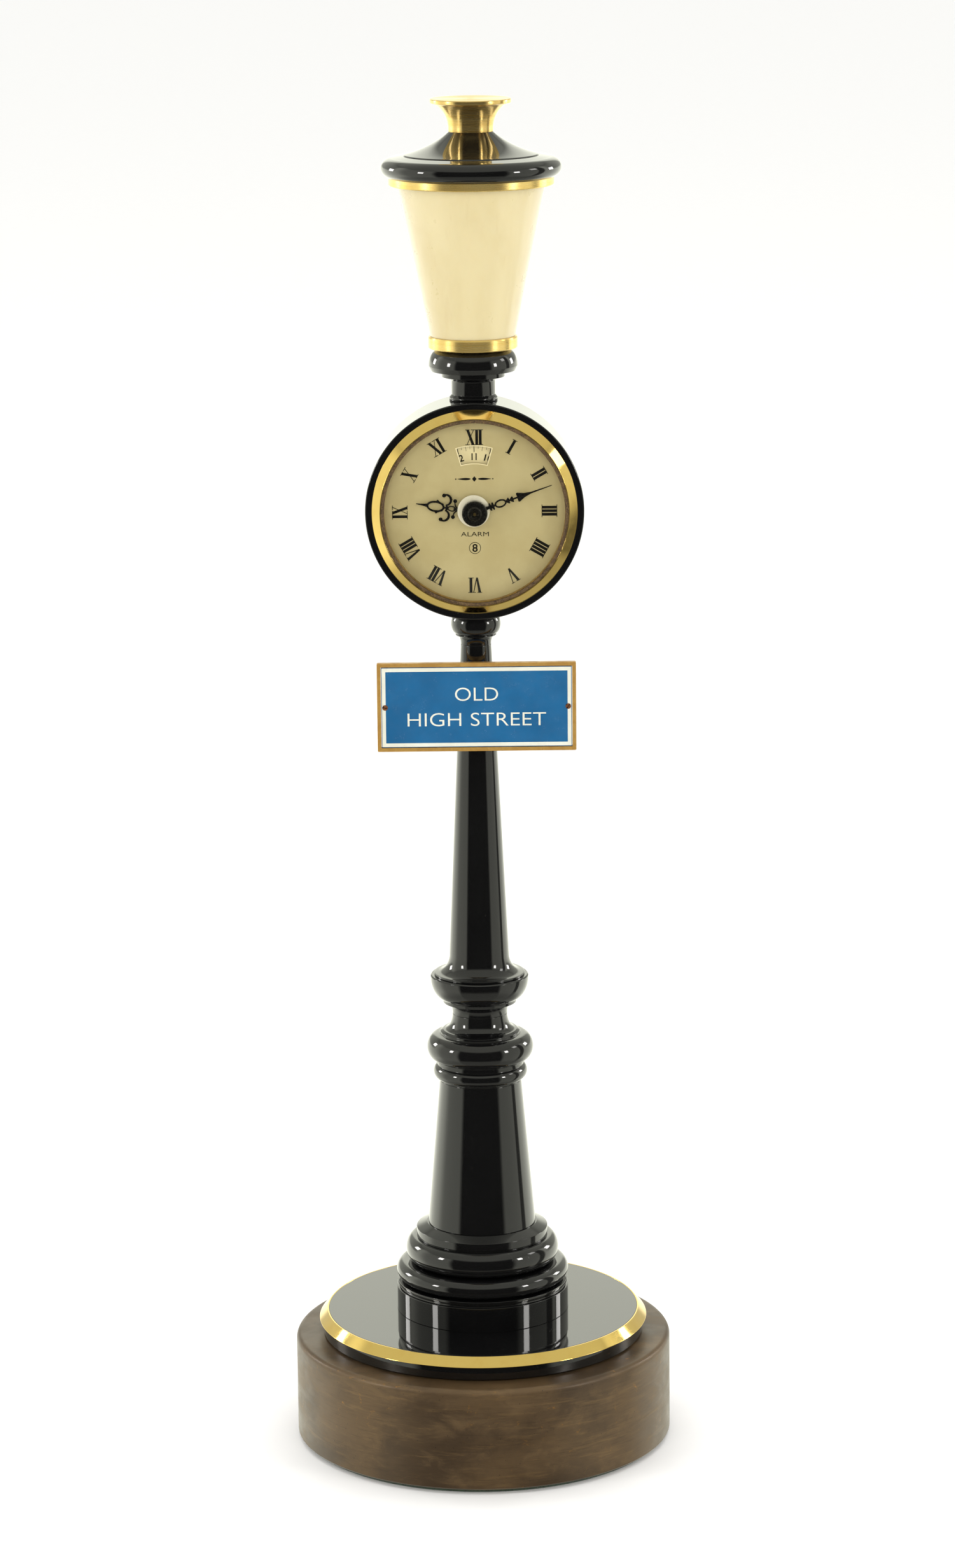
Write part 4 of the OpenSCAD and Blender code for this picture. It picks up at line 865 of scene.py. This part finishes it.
def window_loop(grow=0.0, steps=24):
    """The alarm window's outline, with rounded corners."""
    spread = math.degrees(grow / WINDOW_MID)
    a0, a1 = 90 - WINDOW_HALF - spread, 90 + WINDOW_HALF + spread
    top, bottom = WINDOW_OUT + grow, WINDOW_IN - grow
    outline = arc((0, 0), top, top, a0, a1, steps) + arc((0, 0), bottom, bottom, a1, a0, steps)
    return soften(outline, 0.35 + grow, 5, closed=True)


def dial_pieces():
    loops = [circle((0, 0), N["crystal"].r, 192), circle((0, 0), ARBOR_HOLE_R, 48), window_loop()]
    plate = sheet_with_holes("dial_plate", loops, DIAL_BACK, DIAL_FRONT, 0.04, M["dial"])
    finish_piece(plate, STAND, "dial_paint", "dial")
    # The ring round the alarm window is painted paler than the dial all round: a painted highlight for the
    # light on the window's cut edge.
    loops = [window_loop(0.22), window_loop(0.02)]
    bevel_highlight = sheet_with_holes("window_bevel_painted_highlight", loops, DIAL_FRONT - 0.02, DIAL_FRONT + 0.05, 0.02, M["bevel_highlight"])
    finish_piece(bevel_highlight, STAND, "dial_paint")
    feet = []
    for angle in (0, 120, 240):
        at = turn_points([(WINDOW_OUT + 3.3, 0)], angle)[0]
        feet.append(circle(at, 0.6, 24))
    made = flat_piece("dial_feet", feet, N["front_plate"].front - 1, DIAL_BACK - 0.01, M["movement"])
    finish_piece(made, STAND, "dial_paint")


INK = 0.022
STEM, GAP, SERIF, TALL = 0.60, 0.17, 0.14, 3.35


def serifs(spans, levels):
    """Level bars at each height, one for each span."""
    return [[(a, y), (b, y), (b, y + SERIF), (a, y + SERIF)] for a, b in spans for y in levels]


def letter_i(x):
    stem = [(x, 0), (x + STEM, 0), (x + STEM, TALL), (x, TALL)]
    return [stem] + serifs([(x - 0.31, x + STEM + 0.31)], (0, TALL - SERIF)), x + STEM


def letter_v(x, wide=1.75):
    thick = [(x, TALL), (x + 0.6, TALL), (x + wide / 2 + 0.24, 0), (x + wide / 2 - 0.16, 0)]
    thin = [(x + wide, TALL), (x + wide - 0.17, TALL), (x + wide / 2 - 0.03, 0), (x + wide / 2 + 0.2, 0)]
    bars = serifs([(x - 0.2, x + 0.85), (x + wide - 0.6, x + wide + 0.22)], (TALL - SERIF,))
    return [thick, thin] + bars, x + wide


def letter_x(x, wide=1.8):
    thick = [(x, TALL), (x + 0.6, TALL), (x + wide, 0), (x + wide - 0.6, 0)]
    thin = [(x + wide - 0.08, TALL), (x + wide - 0.24, TALL), (x + 0.08, 0), (x + 0.24, 0)]
    bars = serifs([(x - 0.2, x + 0.8), (x + wide - 0.8, x + wide + 0.2)], (0, TALL - SERIF))
    return [thick, thin] + bars, x + wide


LETTERS = {"I": letter_i, "V": letter_v, "X": letter_x}


def numeral(text, hour):
    """A Roman numeral with its feet towards the centre."""
    shapes, x = [], 0.0
    for i, letter in enumerate(text):
        made, end = LETTERS[letter](x)
        shapes += made
        x = end + (GAP if i < len(text) - 1 else 0)
    foot = 14.5
    return [turn_points([(px - x / 2, py + foot) for px, py in shape], -30 * hour) for shape in shapes]


def raised(name, outlines, base, height=INK):
    """Printed marks: thin solids that differ slightly in height, so that none share a face."""
    mesh = bmesh.new()
    for i, points in enumerate(outlines):
        prism(mesh, points, base - 0.004, base + height + 0.0012 * (i % 7))
    return link(name, mesh_data(name, mesh, HEAD), M["ink"], smooth=False)


HOURS = ("XII", "I", "II", "III", "IIII", "V", "VI", "VII", "VIII", "IX", "X", "XI")


def lettering(words, cap, width, centre, depth, lift_by, turn=0.0, bold=0.0):
    """A mesh of words in the built-in face, fitted to a cap height and, if given, a width."""
    curve = bpy.data.curves.new("words", "FONT")
    curve.body, curve.size, curve.resolution_u = words, 1.0, 5
    curve.align_x, curve.align_y = "CENTER", "CENTER"
    curve.extrude, curve.offset = 0.5, bold
    data = made_by(curve)
    xs, ys = [v.co.x for v in data.vertices], [v.co.y for v in data.vertices]
    sx = width / (max(xs) - min(xs)) if width else cap / (max(ys) - min(ys))
    sy = cap / (max(ys) - min(ys))
    middle = Vector(((max(xs) + min(xs)) / 2, (max(ys) + min(ys)) / 2, 0))
    place = Matrix.Translation((centre[0] * MM, centre[1] * MM, (depth + lift_by / 2) * MM))
    place = Matrix.Rotation(math.radians(turn), 4, "Z") @ place
    data.transform(place @ Matrix.Diagonal((sx * MM, sy * MM, lift_by * MM, 1)) @ Matrix.Translation(-middle))
    weld(data, 1e-8)
    return data


def words_piece(name, items, material, at=HEAD):
    """Joins several pieces of lettering into one object."""
    mesh = bmesh.new()
    for data in items:
        mesh.from_mesh(data)
    return link(name, mesh_data(name, mesh, at, outward=False), material, smooth=False)


def hairline_ring(centre, rx, ry, wall, end=359.7, steps=64):
    """A thin ring as one closed outline, with a hairline seam."""
    outer = arc(centre, rx, ry, 0, end, steps)
    return outer + arc(centre, rx - wall, ry - wall, end, 0, steps)


def dial_marks():
    shapes = [shape for hour, text in enumerate(HOURS) for shape in numeral(text, hour)]
    pointer = [(-0.05, 13.2), (0.05, 13.2), (0.05, 14.6), (-0.05, 14.6)]
    flourish, level, figure_at = [], 7.1, (0, -8.0)
    for side in (-1, 1):
        swell = [0.06 + 0.44 * math.sin(math.pi * (i / 16) ** 0.7) for i in range(17)]
        flourish.append(stroke([(side * (0.78 + 0.18 * i), level) for i in range(17)], swell))
        flourish.append(circle((side * 4.0, level), 0.15, 20))
    flourish.append([(-0.5, level), (0, level - 0.6), (0.5, level), (0, level + 0.6)])
    ring = hairline_ring(figure_at, 1.29, 1.29, 0.12)
    piece = raised("dial_print", shapes + [pointer] + flourish + [ring], DIAL_FRONT)
    finish_piece(piece, STAND, "dial_paint")
    words = [
        lettering("ALARM", 0.96, 6.05, (0, -4.95), DIAL_FRONT - 0.004, INK + 0.004),
        lettering("8", 1.75, 1.15, figure_at, DIAL_FRONT - 0.004, INK + 0.004, bold=0.015),
    ]
    finish_piece(words_piece("dial_words", words, M["ink"]), STAND, "dial_paint")


def alarm_disc_pieces():
    disc = N["alarm_disc"]
    face = disc.front
    r, bore, just_ahead = WINDOW_OUT + 0.4, ARBOR_HOLE_R, Matrix.Translation((0, 0, 0.002 * MM))
    outline = [(bore, face - 0.35), (r, face - 0.35), (r, face), (bore, face)]
    at = HEAD @ just_ahead
    turned_ring("alarm_disc_face", outline, 0.05, "disc", "alarm_disc", "alarm_enamel", at=at)
    ticks, rim = [], 14.1
    for i in range(96):
        length, width = ((1.25, 0.14), (0.55, 0.06), (0.95, 0.07), (0.55, 0.06))[i % 4]
        half, root = width / 2, rim - length
        ticks.append(turn_points([(-half, root), (half, root), (half, rim), (-half, rim)], i * 3.75))
    marks = raised("alarm_disc_scale", ticks, face + 0.002, height=0.012)
    finish_piece(marks, "alarm_disc", "alarm_enamel")
    numbers = []
    for i in range(24):
        hour = (10 - i) % 12 + 1
        wide = {10: 1.7, 11: 1.1, 12: 1.55}.get(hour, 0)
        label = lettering(str(hour), 1.5, wide, (0, 11.85), face - 0.002, 0.016, turn=-15 * i, bold=0.02)
        numbers.append(label)
    finish_piece(words_piece("alarm_disc_numbers", numbers, M["ink"]), "alarm_disc", "alarm_enamel")


# ---------------- hands
MINUTE_ANGLE, HOUR_ANGLE = 70.8, 278.8
MINUTE_REACH, HOUR_REACH = 17.7, 12.8


def mirrored(points):
    return points + [(x, -y) for x, y in reversed(points)]


def scroll(centre, r, start, end, wide, thin):
    path = arc(centre, r, r, start, end, 18)
    return stroke(path, [wide + (thin - wide) * abs(2 * i / 18 - 1) for i in range(19)])


def both_sides(shapes):
    return shapes + [[(x, -y) for x, y in shape] for shape in shapes]


def minute_shapes():
    shapes = [circle((0, 0), N["hand_nut"].r - 0.15, 64)]
    shapes.append(mirrored([(1.9, 0.55), (3.1, 0.34), (3.55, 0.24), (4.8, 0.2)]))
    for at in (3.75, 4.35):
        shapes.append(mirrored([(at - 0.5, 0.2), (at - 0.25, 0.82), (at + 0.05, 0.86), (at + 0.12, 0.2)]))
    shapes.append(hairline_ring((5.95, 0), 1.34, 0.9, 0.36, 359, 28))
    for at in (7.85, 8.75):
        shapes.append(mirrored([(at - 0.75, 0.14), (at - 0.1, 0.66), (at + 0.1, 0.6), (at + 0.14, 0.16)]))
    shapes.append(mirrored([(7.15, 0.16), (9.9, 0.17)]))
    shapes.append(mirrored([(9.75, 0.95), (10.05, 1.0), (11.4, 0.46), (12.9, 0.18), (MINUTE_REACH, 0.08)]))
    return shapes


def hour_shapes():
    shapes = [circle((0, 0), N["hand_nut"].r + 0.35, 64)]
    shapes.append(mirrored([(2.6, 0.45), (3.4, 0.24), (4.6, 0.22)]))
    shapes.append(hairline_ring((5.0, 0), 0.95, 0.62, 0.24, 359, 28))
    shapes += both_sides([
        stroke(sweep((3.6, 0.1), (4.4, 0.55), (4.55, 1.55), 10), [0.34 - 0.012 * i for i in range(11)]),
        circle((4.5, 1.75), 0.42, 20),
        scroll((6.55, 1.7), 1.15, 250, 70, 0.56, 0.32),
        circle((7.05, 2.62), 0.42, 20),
        stroke(sweep((5.85, 0.15), (6.3, 0.35), (6.2, 0.75), 8), [0.38] * 9),
        stroke(sweep((6.9, 0.62), (7.9, 0.9), (8.4, 1.42), 10), [0.36] * 11),
    ])
    shapes.append(hairline_ring((8.55, 0), 1.98, 1.22, 0.42, 359, 28))
    shapes.append(mirrored([(5.9, 0.2), (6.75, 0.16)]))
    shapes.append(mirrored([(10.3, 0.4), (11.2, 0.22), (HOUR_REACH, 0.08)]))
    return shapes


def hand(name, shapes, angle, node, body):
    """A hand turned to its angle. Its shapes differ slightly in thickness, so that none share a face."""
    mesh = bmesh.new()
    for i, shape in enumerate(shapes):
        lower = 0.0011 * (i % 9)
        prism(mesh, turn_points(shape, 90 - angle), node.back + lower, node.front - lower, edge=0.035)
    piece = link(name, mesh_data(name, mesh, HEAD), M["hands"], smooth=False)
    finish_piece(piece, body, "hand_black")
    return piece


def hands():
    minute, hour, nut = N["minute_hand"], N["hour_hand"], N["hand_nut"]
    piece = hand("minute_hand_cut", minute_shapes(), MINUTE_ANGLE, minute, "minute_arbor")
    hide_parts("minute_hand")
    piece = hand("hour_hand_cut", hour_shapes(), HOUR_ANGLE, hour, "hour_arbor")
    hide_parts("hour_hand")
    bore, r, low, high = 1.9, nut.r + 0.75, hour.front - 0.02, hour.front + 0.18
    boss_painted_reflection = [(bore, low), (r, low), (r, high), (bore, high)]
    # The white boss is a painted reflection of the bright wall in the glossy boss. It sits off centre so that
    # the white is wider at the upper left.
    off_centre = HEAD @ Matrix.Translation((-0.22 * MM, 0.22 * MM, 0))
    turned_ring("hour_hand_boss", boss_painted_reflection, 0.06, "boss_painted_reflection", "hour_arbor", "hand_black", at=off_centre)
    h = nut.front - nut.back
    cap = [(0.35, 0), (nut.r, 0), (nut.r, h - 0.8), (nut.r - 0.2, h - 0.6), (1.5, h - 0.6)]
    cap += [(1.5, h - 0.2), (1.3, h), (0.8, h), (0.66, h - 0.2), (0.35, h - 0.2)]
    cap = lift(cap, nut.back)
    turned_ring("hand_nut_turned", cap, 0.06, "hands", "minute_arbor", "hand_black", "hand_nut", at=HEAD)


# ---------------- name plate
FACE = Matrix.Rotation(math.radians(90), 4, "X")


def rect(w, h, centre=(0, 0)):
    x, y = centre
    return [(x - w / 2, y - h / 2), (x + w / 2, y - h / 2), (x + w / 2, y + h / 2), (x - w / 2, y + h / 2)]


def name_plate():
    frame_node, plate = N["sign_frame"], N["sign_plate"]
    mid = frame_node.mid_z
    at = Matrix.Translation((0, 0, mid * MM)) @ FACE
    w, h = frame_node.high.x - frame_node.low.x, frame_node.height
    border = 0.83
    back = plate.back - 0.2
    inner = rect(w - 2 * border, h - 2 * border)
    loops = [soften(rect(w, h), 0.3, 5, closed=True), soften(inner, 0.12, 3, closed=True)]
    edge = sheet_with_holes("sign_frame_cut", loops, back, frame_node.front, 0.1, M["aged"], at)
    finish_piece(edge, STAND, "sign_brass", "sign_frame")
    lugs = []
    for side in (-1, 1):
        for lug in (-1, 1):
            lugs.append(rect(4, 2, (side * w / 4, lug * (h / 2 - 1.7))))
    made = flat_piece("sign_frame_lugs", lugs, back - 0.2, plate.back, M["aged"], at, edge=0)
    finish_piece(made, STAND, "sign_brass")

    pw, ph = plate.high.x - plate.low.x, plate.height
    face = plate.front
    sheet = [soften(rect(pw, ph), 0.15, 4, closed=True)]
    body = flat_piece("sign_plate_cut", sheet, plate.back, face - 0.03, M["blue"], at, edge=0.05)
    finish_piece(body, STAND, "sign_enamel", "sign_plate")
    inset_by, line = 0.14, 0.82
    outer = soften(rect(pw - 2 * inset_by, ph - 2 * inset_by), 0.1, 3, closed=True)
    inner = soften(rect(pw - 2 * (inset_by + line), ph - 2 * (inset_by + line)), 0.1, 3, closed=True)
    border_line = sheet_with_holes("sign_border", [outer, inner], face - 0.05, face, 0.008, M["white"], at)
    finish_piece(border_line, STAND, "sign_enamel")
    words = [
        lettering("OLD", 2.95, 9.4, (0, 2.85), face - 0.04, 0.04, bold=-0.008),
        lettering("HIGH STREET", 2.95, 30.2, (0, -2.75), face - 0.04, 0.04, bold=-0.008),
    ]
    finish_piece(words_piece("sign_words", words, M["white"], at), STAND, "sign_enamel")

    back, front = plate.back, face
    head = [(0, back), (0.35, back), (0.35, front - 0.1), (0.6, front - 0.1), (0.6, front + 0.12)]
    head = soften(head + [(0.45, front + 0.22), (0, front + 0.25)], 0.06)
    for side, which in ((-1, "left"), (1, "right")):
        x = side * (w / 2 - border - 0.9)
        there = at @ Matrix.Translation((x * MM, 0, 0))
        name = "sign_screw_" + which
        turned(name, head, M["rust"], STAND, "aged_screw", "sign_screws", at=there, segments=48)
        # The slot is a black bar laid across the screw head: painted shade standing for the dark inside the
        # groove.
        cut = [turn_points(rect(1.0, 0.16), 25 + 40 * side, (x, 0))]
        slot = flat_piece("sign_screw_slot_shade_" + which, cut, front + 0.1, front + 0.262, M["ink"], at)
        finish_piece(slot, STAND, "aged_screw")


# ---------------- back of the clock
def middle_of(node):
    """A node's middle in the head's own axes."""
    return (node.low.x + node.high.x) / 2, node.mid_z - HEAD_Z


def knurled(name, centre, r, back, front, body, *nodes, grips=44, bore=0.0):
    """A turned knob with a dished end and straight knurls round its edge."""
    band = 0.35
    outline = [(bore, back + 0.25), (r * 0.45, back + 0.25), (r * 0.58, back), (r - 0.3, back)]
    outline += [(r, back + 0.22), (r, back + band), (r, front - band), (r, front - 0.2)]
    outline += [(r - 0.25, front), (bore, front)]
    data = lathe_mesh(name, soften(outline, 0.08, closed=bore > 0), grips * 4, closed=bore > 0)
    for vertex in data.vertices:
        x, y, z = vertex.co
        if math.hypot(x, y) > (r - 0.02) * MM:
            dip = 0.5 - 0.5 * math.cos(grips * math.atan2(y, x))
            vertex.co = (x * (1 - 0.14 / r * dip), y * (1 - 0.14 / r * dip), z)
    data.transform(HEAD @ Matrix.Translation((centre[0] * MM, centre[1] * MM, 0)))
    piece = link(name, data, M["knob"])
    weigh_normals(piece)
    return finish_piece(piece, body, "gilt", *nodes)


def winding_key(name, node_name, body):
    """A winged key: a turned hub with a flat wing on each side, pierced near its end."""
    node = N[node_name]
    centre, half = middle_of(node), node.r
    hub, thick, lobe = 1.5, 1.2, 1.2
    outline = [(0, node.back), (hub - 0.35, node.back), (hub, node.back + 0.3), (hub, node.back + 2.4)]
    outline += [(hub - 0.3, node.back + 2.7), (hub - 0.3, node.front - 0.5), (hub, node.front - 0.3)]
    outline += [(hub, node.front), (0, node.front)]
    at = HEAD @ Matrix.Translation((centre[0] * MM, centre[1] * MM, 0))
    turned(name + "_hub", soften(outline, 0.1), M["knob"], body, "gilt", node_name, at=at, segments=64)
    lift_to = Matrix.Translation((0, 0, node.back * MM)) @ Matrix.Rotation(math.radians(90), 4, "X")
    loops = []
    for side in (1, -1):
        root, tip = hub - 0.4, half - lobe
        outer = [(root, 0.35), (tip - lobe, 0.3)] + arc((tip, lobe), lobe, lobe, -115, 115, 24)
        outer += [(tip - lobe, 2 * lobe - 0.3), (root, 2 * lobe - 0.35)]
        hole = circle((tip, lobe), 0.45, 24)
        loops.append([(side * x, z) for x, z in soften(outer, 0.15, 4, closed=True)])
        loops.append([(side * x, z) for x, z in hole])
    wings = sheet_with_holes(name + "_wings", loops, -thick / 2, thick / 2, 0.14, M["knob"], at @ lift_to)
    finish_piece(wings, body, "gilt")


def back_marks():
    """Printed arrows on the back cover: which way each key and knob turns."""
    cover = N["back_cover"]
    shapes = []
    turns = (("time_winding_key", 7.4, 200), ("alarm_winding_key", 7.4, -20), ("time_setting_knob", 5.4, 60))
    for name, r, start in turns:
        centre, end = middle_of(N[name]), start + 50
        path = arc(centre, r, r, start, end, 16)
        shapes.append(stroke(path, [0.32] * len(path)))
        tip = arc(centre, r, r, end + 9, end + 9.5, 1)[0]
        shapes.append([arc(centre, r + out, r + out, end - 1, end, 1)[0] for out in (-0.7, 0.7)] + [tip])
    marks = flat_piece("back_cover_arrows", shapes, cover.back - 0.02, cover.back + 0.05, M["white"])
    finish_piece(marks, STAND, "sign_enamel")


ALARM_KNOB_R = 2.4


def back_pieces():
    knob, alarm_knob = N["time_setting_knob"], N["alarm_setting_knob"]
    back, front = knob.back, knob.front
    knurled("time_knob_turned", (0, 0), knob.r, back, front, "minute_arbor", "time_setting_knob", bore=0.9)
    centre, front = middle_of(alarm_knob), alarm_knob.back + (front - back) + 0.02
    back = alarm_knob.back - 0.3
    knurled("alarm_knob_cap", centre, ALARM_KNOB_R + 0.16, back, front, "alarm_setting", grips=32)
    winding_key("time_key", "time_winding_key", "time_winding")
    winding_key("alarm_key", "alarm_winding_key", "alarm_winding")
    stop = N["stop_button"]
    shaft, cap = 1.0, stop.r
    back, front = stop.back, stop.front
    outline = [(0, back), (cap - 0.5, back + 0.06), (cap - 0.12, back + 0.2), (cap, back + 0.42)]
    outline += [(cap, back + 0.8), (shaft, back + 0.8), (shaft, front - 0.6)]
    outline += [(shaft + 0.6, front - 0.6), (shaft + 0.6, front), (0, front)]
    x, y = middle_of(stop)
    turned("stop_button_turned", soften(outline, 0.1), M["knob"], "stop_button", "gilt", "stop_button",
           at=HEAD @ Matrix.Translation((x * MM, y * MM, 0)), segments=72)
    back_marks()


# ---------------- carried-over nodes
CARRIED = {
    "steel": (
        "tie_rod", "rod_nuts", "lantern_rod", "cannon_pinion", "pallet_lever", "hammer", "time_winding_arbor",
        "alarm_winding_arbor",
    ),
    "blued": ("movement_screws", "hairspring"),
    "movement": (
        "front_plate", "back_plate", "pillars", "balance_cock", "centre_wheel", "hour_wheel", "minute_wheel",
        "intermediate_wheel", "third_wheel", "fourth_wheel", "escape_wheel", "balance_wheel", "time_barrel",
        "alarm_barrel", "strike_wheel",
    ),
    "knob": ("alarm_setting_knob",),
    "lacquer": ("sign_bracket", "back_cover"),
    "disc": ("alarm_disc",),
}


def finish_carried_nodes():
    for material, names in CARRIED.items():
        for name in names:
            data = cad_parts[name].data
            data.materials.clear()
            data.materials.append(M[material])


# ---------------- studio
def camera():
    data = bpy.data.cameras.new("camera")
    data.sensor_fit = "VERTICAL"
    data.sensor_height = 36
    data.lens = 108.15
    data.clip_start, data.clip_end = 0.01, 50
    made = bpy.data.objects.new("camera", data)
    bpy.context.scene.collection.objects.link(made)
    tilt, roll = Matrix.Rotation(math.radians(77.37), 4, "X"), Matrix.Rotation(math.radians(-0.6), 4, "Z")
    made.matrix_world = Matrix.Translation((0, -1.01338, 0.37698)) @ tilt @ roll
    bpy.context.scene.camera = made


def softbox(name, azimuth, elevation, distance, width, height, radiance, aim=(0, 0, 0.16)):
    """An area light at an azimuth from the front, turned towards the object."""
    data = bpy.data.lights.new(name, "AREA")
    data.shape = "RECTANGLE"
    data.size, data.size_y = width, height
    data.energy = radiance * math.pi * width * height
    data.color = (1, 0.985, 0.95)
    made = bpy.data.objects.new(name, data)
    bpy.context.scene.collection.objects.link(made)
    a, e = math.radians(azimuth), math.radians(elevation)
    out = Vector((math.sin(a) * math.cos(e), -math.cos(a) * math.cos(e), math.sin(e)))
    made.location = Vector(aim) + out * distance
    made.rotation_mode = "QUATERNION"
    made.rotation_quaternion = out.to_track_quat("Z", "Y")
    made.visible_camera = False
    return made


LEFT_WALL, RIGHT_WALL, BACK_WALL, OVERHEAD, TABLE = 0.84, 0.70, 1.45, 0.56, 0.32


def studio():
    """White walls at the sides and back, a ceiling, a table, and a dark room behind the camera."""
    world = bpy.data.worlds.new("studio")
    bpy.context.scene.world = world
    world.use_nodes = True
    world.node_tree.nodes.clear()
    nodes = Nodes(world.node_tree)
    node, span = nodes.node, nodes.span

    def product(a, b):
        return nodes.math("MULTIPLY", a, b)

    def total(a, b):
        return nodes.math("ADD", a, b)

    def larger(a, b):
        return nodes.math("MAXIMUM", a, b)

    place = node("TexCoord").outputs["Generated"]
    x, y, z = node("SeparateXYZ", {0: place}).outputs
    flat = node("CombineXYZ", {0: x, 1: y}).outputs[0]
    unit = node("VectorMath", {0: flat}, operation="NORMALIZE").outputs[0]
    side, depth, _ = node("SeparateXYZ", {0: unit}).outputs
    side_wall = product(span(depth, -0.72, -0.58), span(side, -0.3, 0.3, LEFT_WALL, RIGHT_WALL))
    back_wall = product(product(span(depth, 0.02, 0.42), span(z, -0.72, -0.5)), BACK_WALL - LEFT_WALL)
    off_axis = product(side, side)
    shaded = product(product(span(off_axis, 0.02, 0.12), span(depth, 0.3, 0.6)), span(z, -0.08, 0.10))
    upper_corner = span(shaded, 0, 1, 1, 0.42)
    gap_here = product(product(span(depth, 0.05, 0.14), span(depth, 0.36, 0.26)), span(side, 0.5, 0.6))
    gap = span(gap_here, 0, 1, 1, 0.12)
    walls = product(product(total(side_wall, back_wall), gap), upper_corner)
    overhead = product(span(z, 0.42, 0.62), OVERHEAD)
    table = product(span(z, -0.45, -0.62), TABLE)
    low_walls = product(walls, product(span(z, 0.74, 0.42), span(z, -0.8, -0.45, 0.55, 1)))
    strength = total(larger(larger(low_walls, overhead), table), 0.03)
    even = total(larger(side_wall, product(back_wall, 1.6)), 0.42)
    seen = node("Background", {0: (1, 1, 1, 1), 1: 0.985})
    mirrored_room = node("Background", {0: (0.99, 1.0, 0.86, 1), 1: strength})
    room = node("Background", {0: (1, 0.995, 0.98, 1), 1: even})
    rays = node("LightPath").outputs
    lit = node("MixShader", {0: rays["Is Glossy Ray"], 1: room.outputs[0], 2: mirrored_room.outputs[0]})
    both = node("MixShader", {0: rays["Is Camera Ray"], 1: lit.outputs[0], 2: seen.outputs[0]})
    node("OutputWorld", {"Surface": both.outputs[0]})


def lamps():
    """Tall windows at both sides, one above and two behind, with soft light from the front and the top."""
    softbox("window_left", -67, 15, 1.1, 0.15, 0.24, 15)
    softbox("window_right", 60, 15, 1.1, 0.15, 0.24, 15)
    softbox("window_high", 90, 28, 1.1, 0.2, 0.2, 3.5)
    softbox("window_back_left", -122, 12, 1.1, 0.2, 0.26, 9)
    softbox("window_back_right", 122, 12, 1.1, 0.2, 0.26, 9)
    fill = softbox("front_fill", 0, 18, 1.5, 1.6, 1.1, 2.3, aim=(0, 0, 0.18))
    fill.visible_glossy = False
    down = softbox("top_fill", 180, 84, 2.2, 2.4, 2.4, 0.55)
    down.visible_glossy = False
    bpy.context.scene.view_settings.view_transform = "Standard"


def floor():
    f = Finish("floor", IOR=1.4)
    grain = f.noise(9, 4)
    f.colour(f.mix(grain, (0.90, 0.90, 0.895, 1), (0.93, 0.93, 0.925, 1)))
    f.rough(grain, 0.3, 0.7, 0.7, 0.8)
    mesh = bmesh.new()
    bmesh.ops.create_grid(mesh, x_segments=8, y_segments=8, size=6)
    made = link("floor", mesh_data("floor", mesh, outward=False), f.material, smooth=False)
    made.visible_glossy = False


for make in (
    camera, studio, lamps, floor, base_pieces, pedestal, shafts_and_knop, collars_at_the_clock, lantern,
    case_pieces, dial_pieces, dial_marks, alarm_disc_pieces, hands, name_plate, back_pieces,
    finish_carried_nodes,
):
    make()
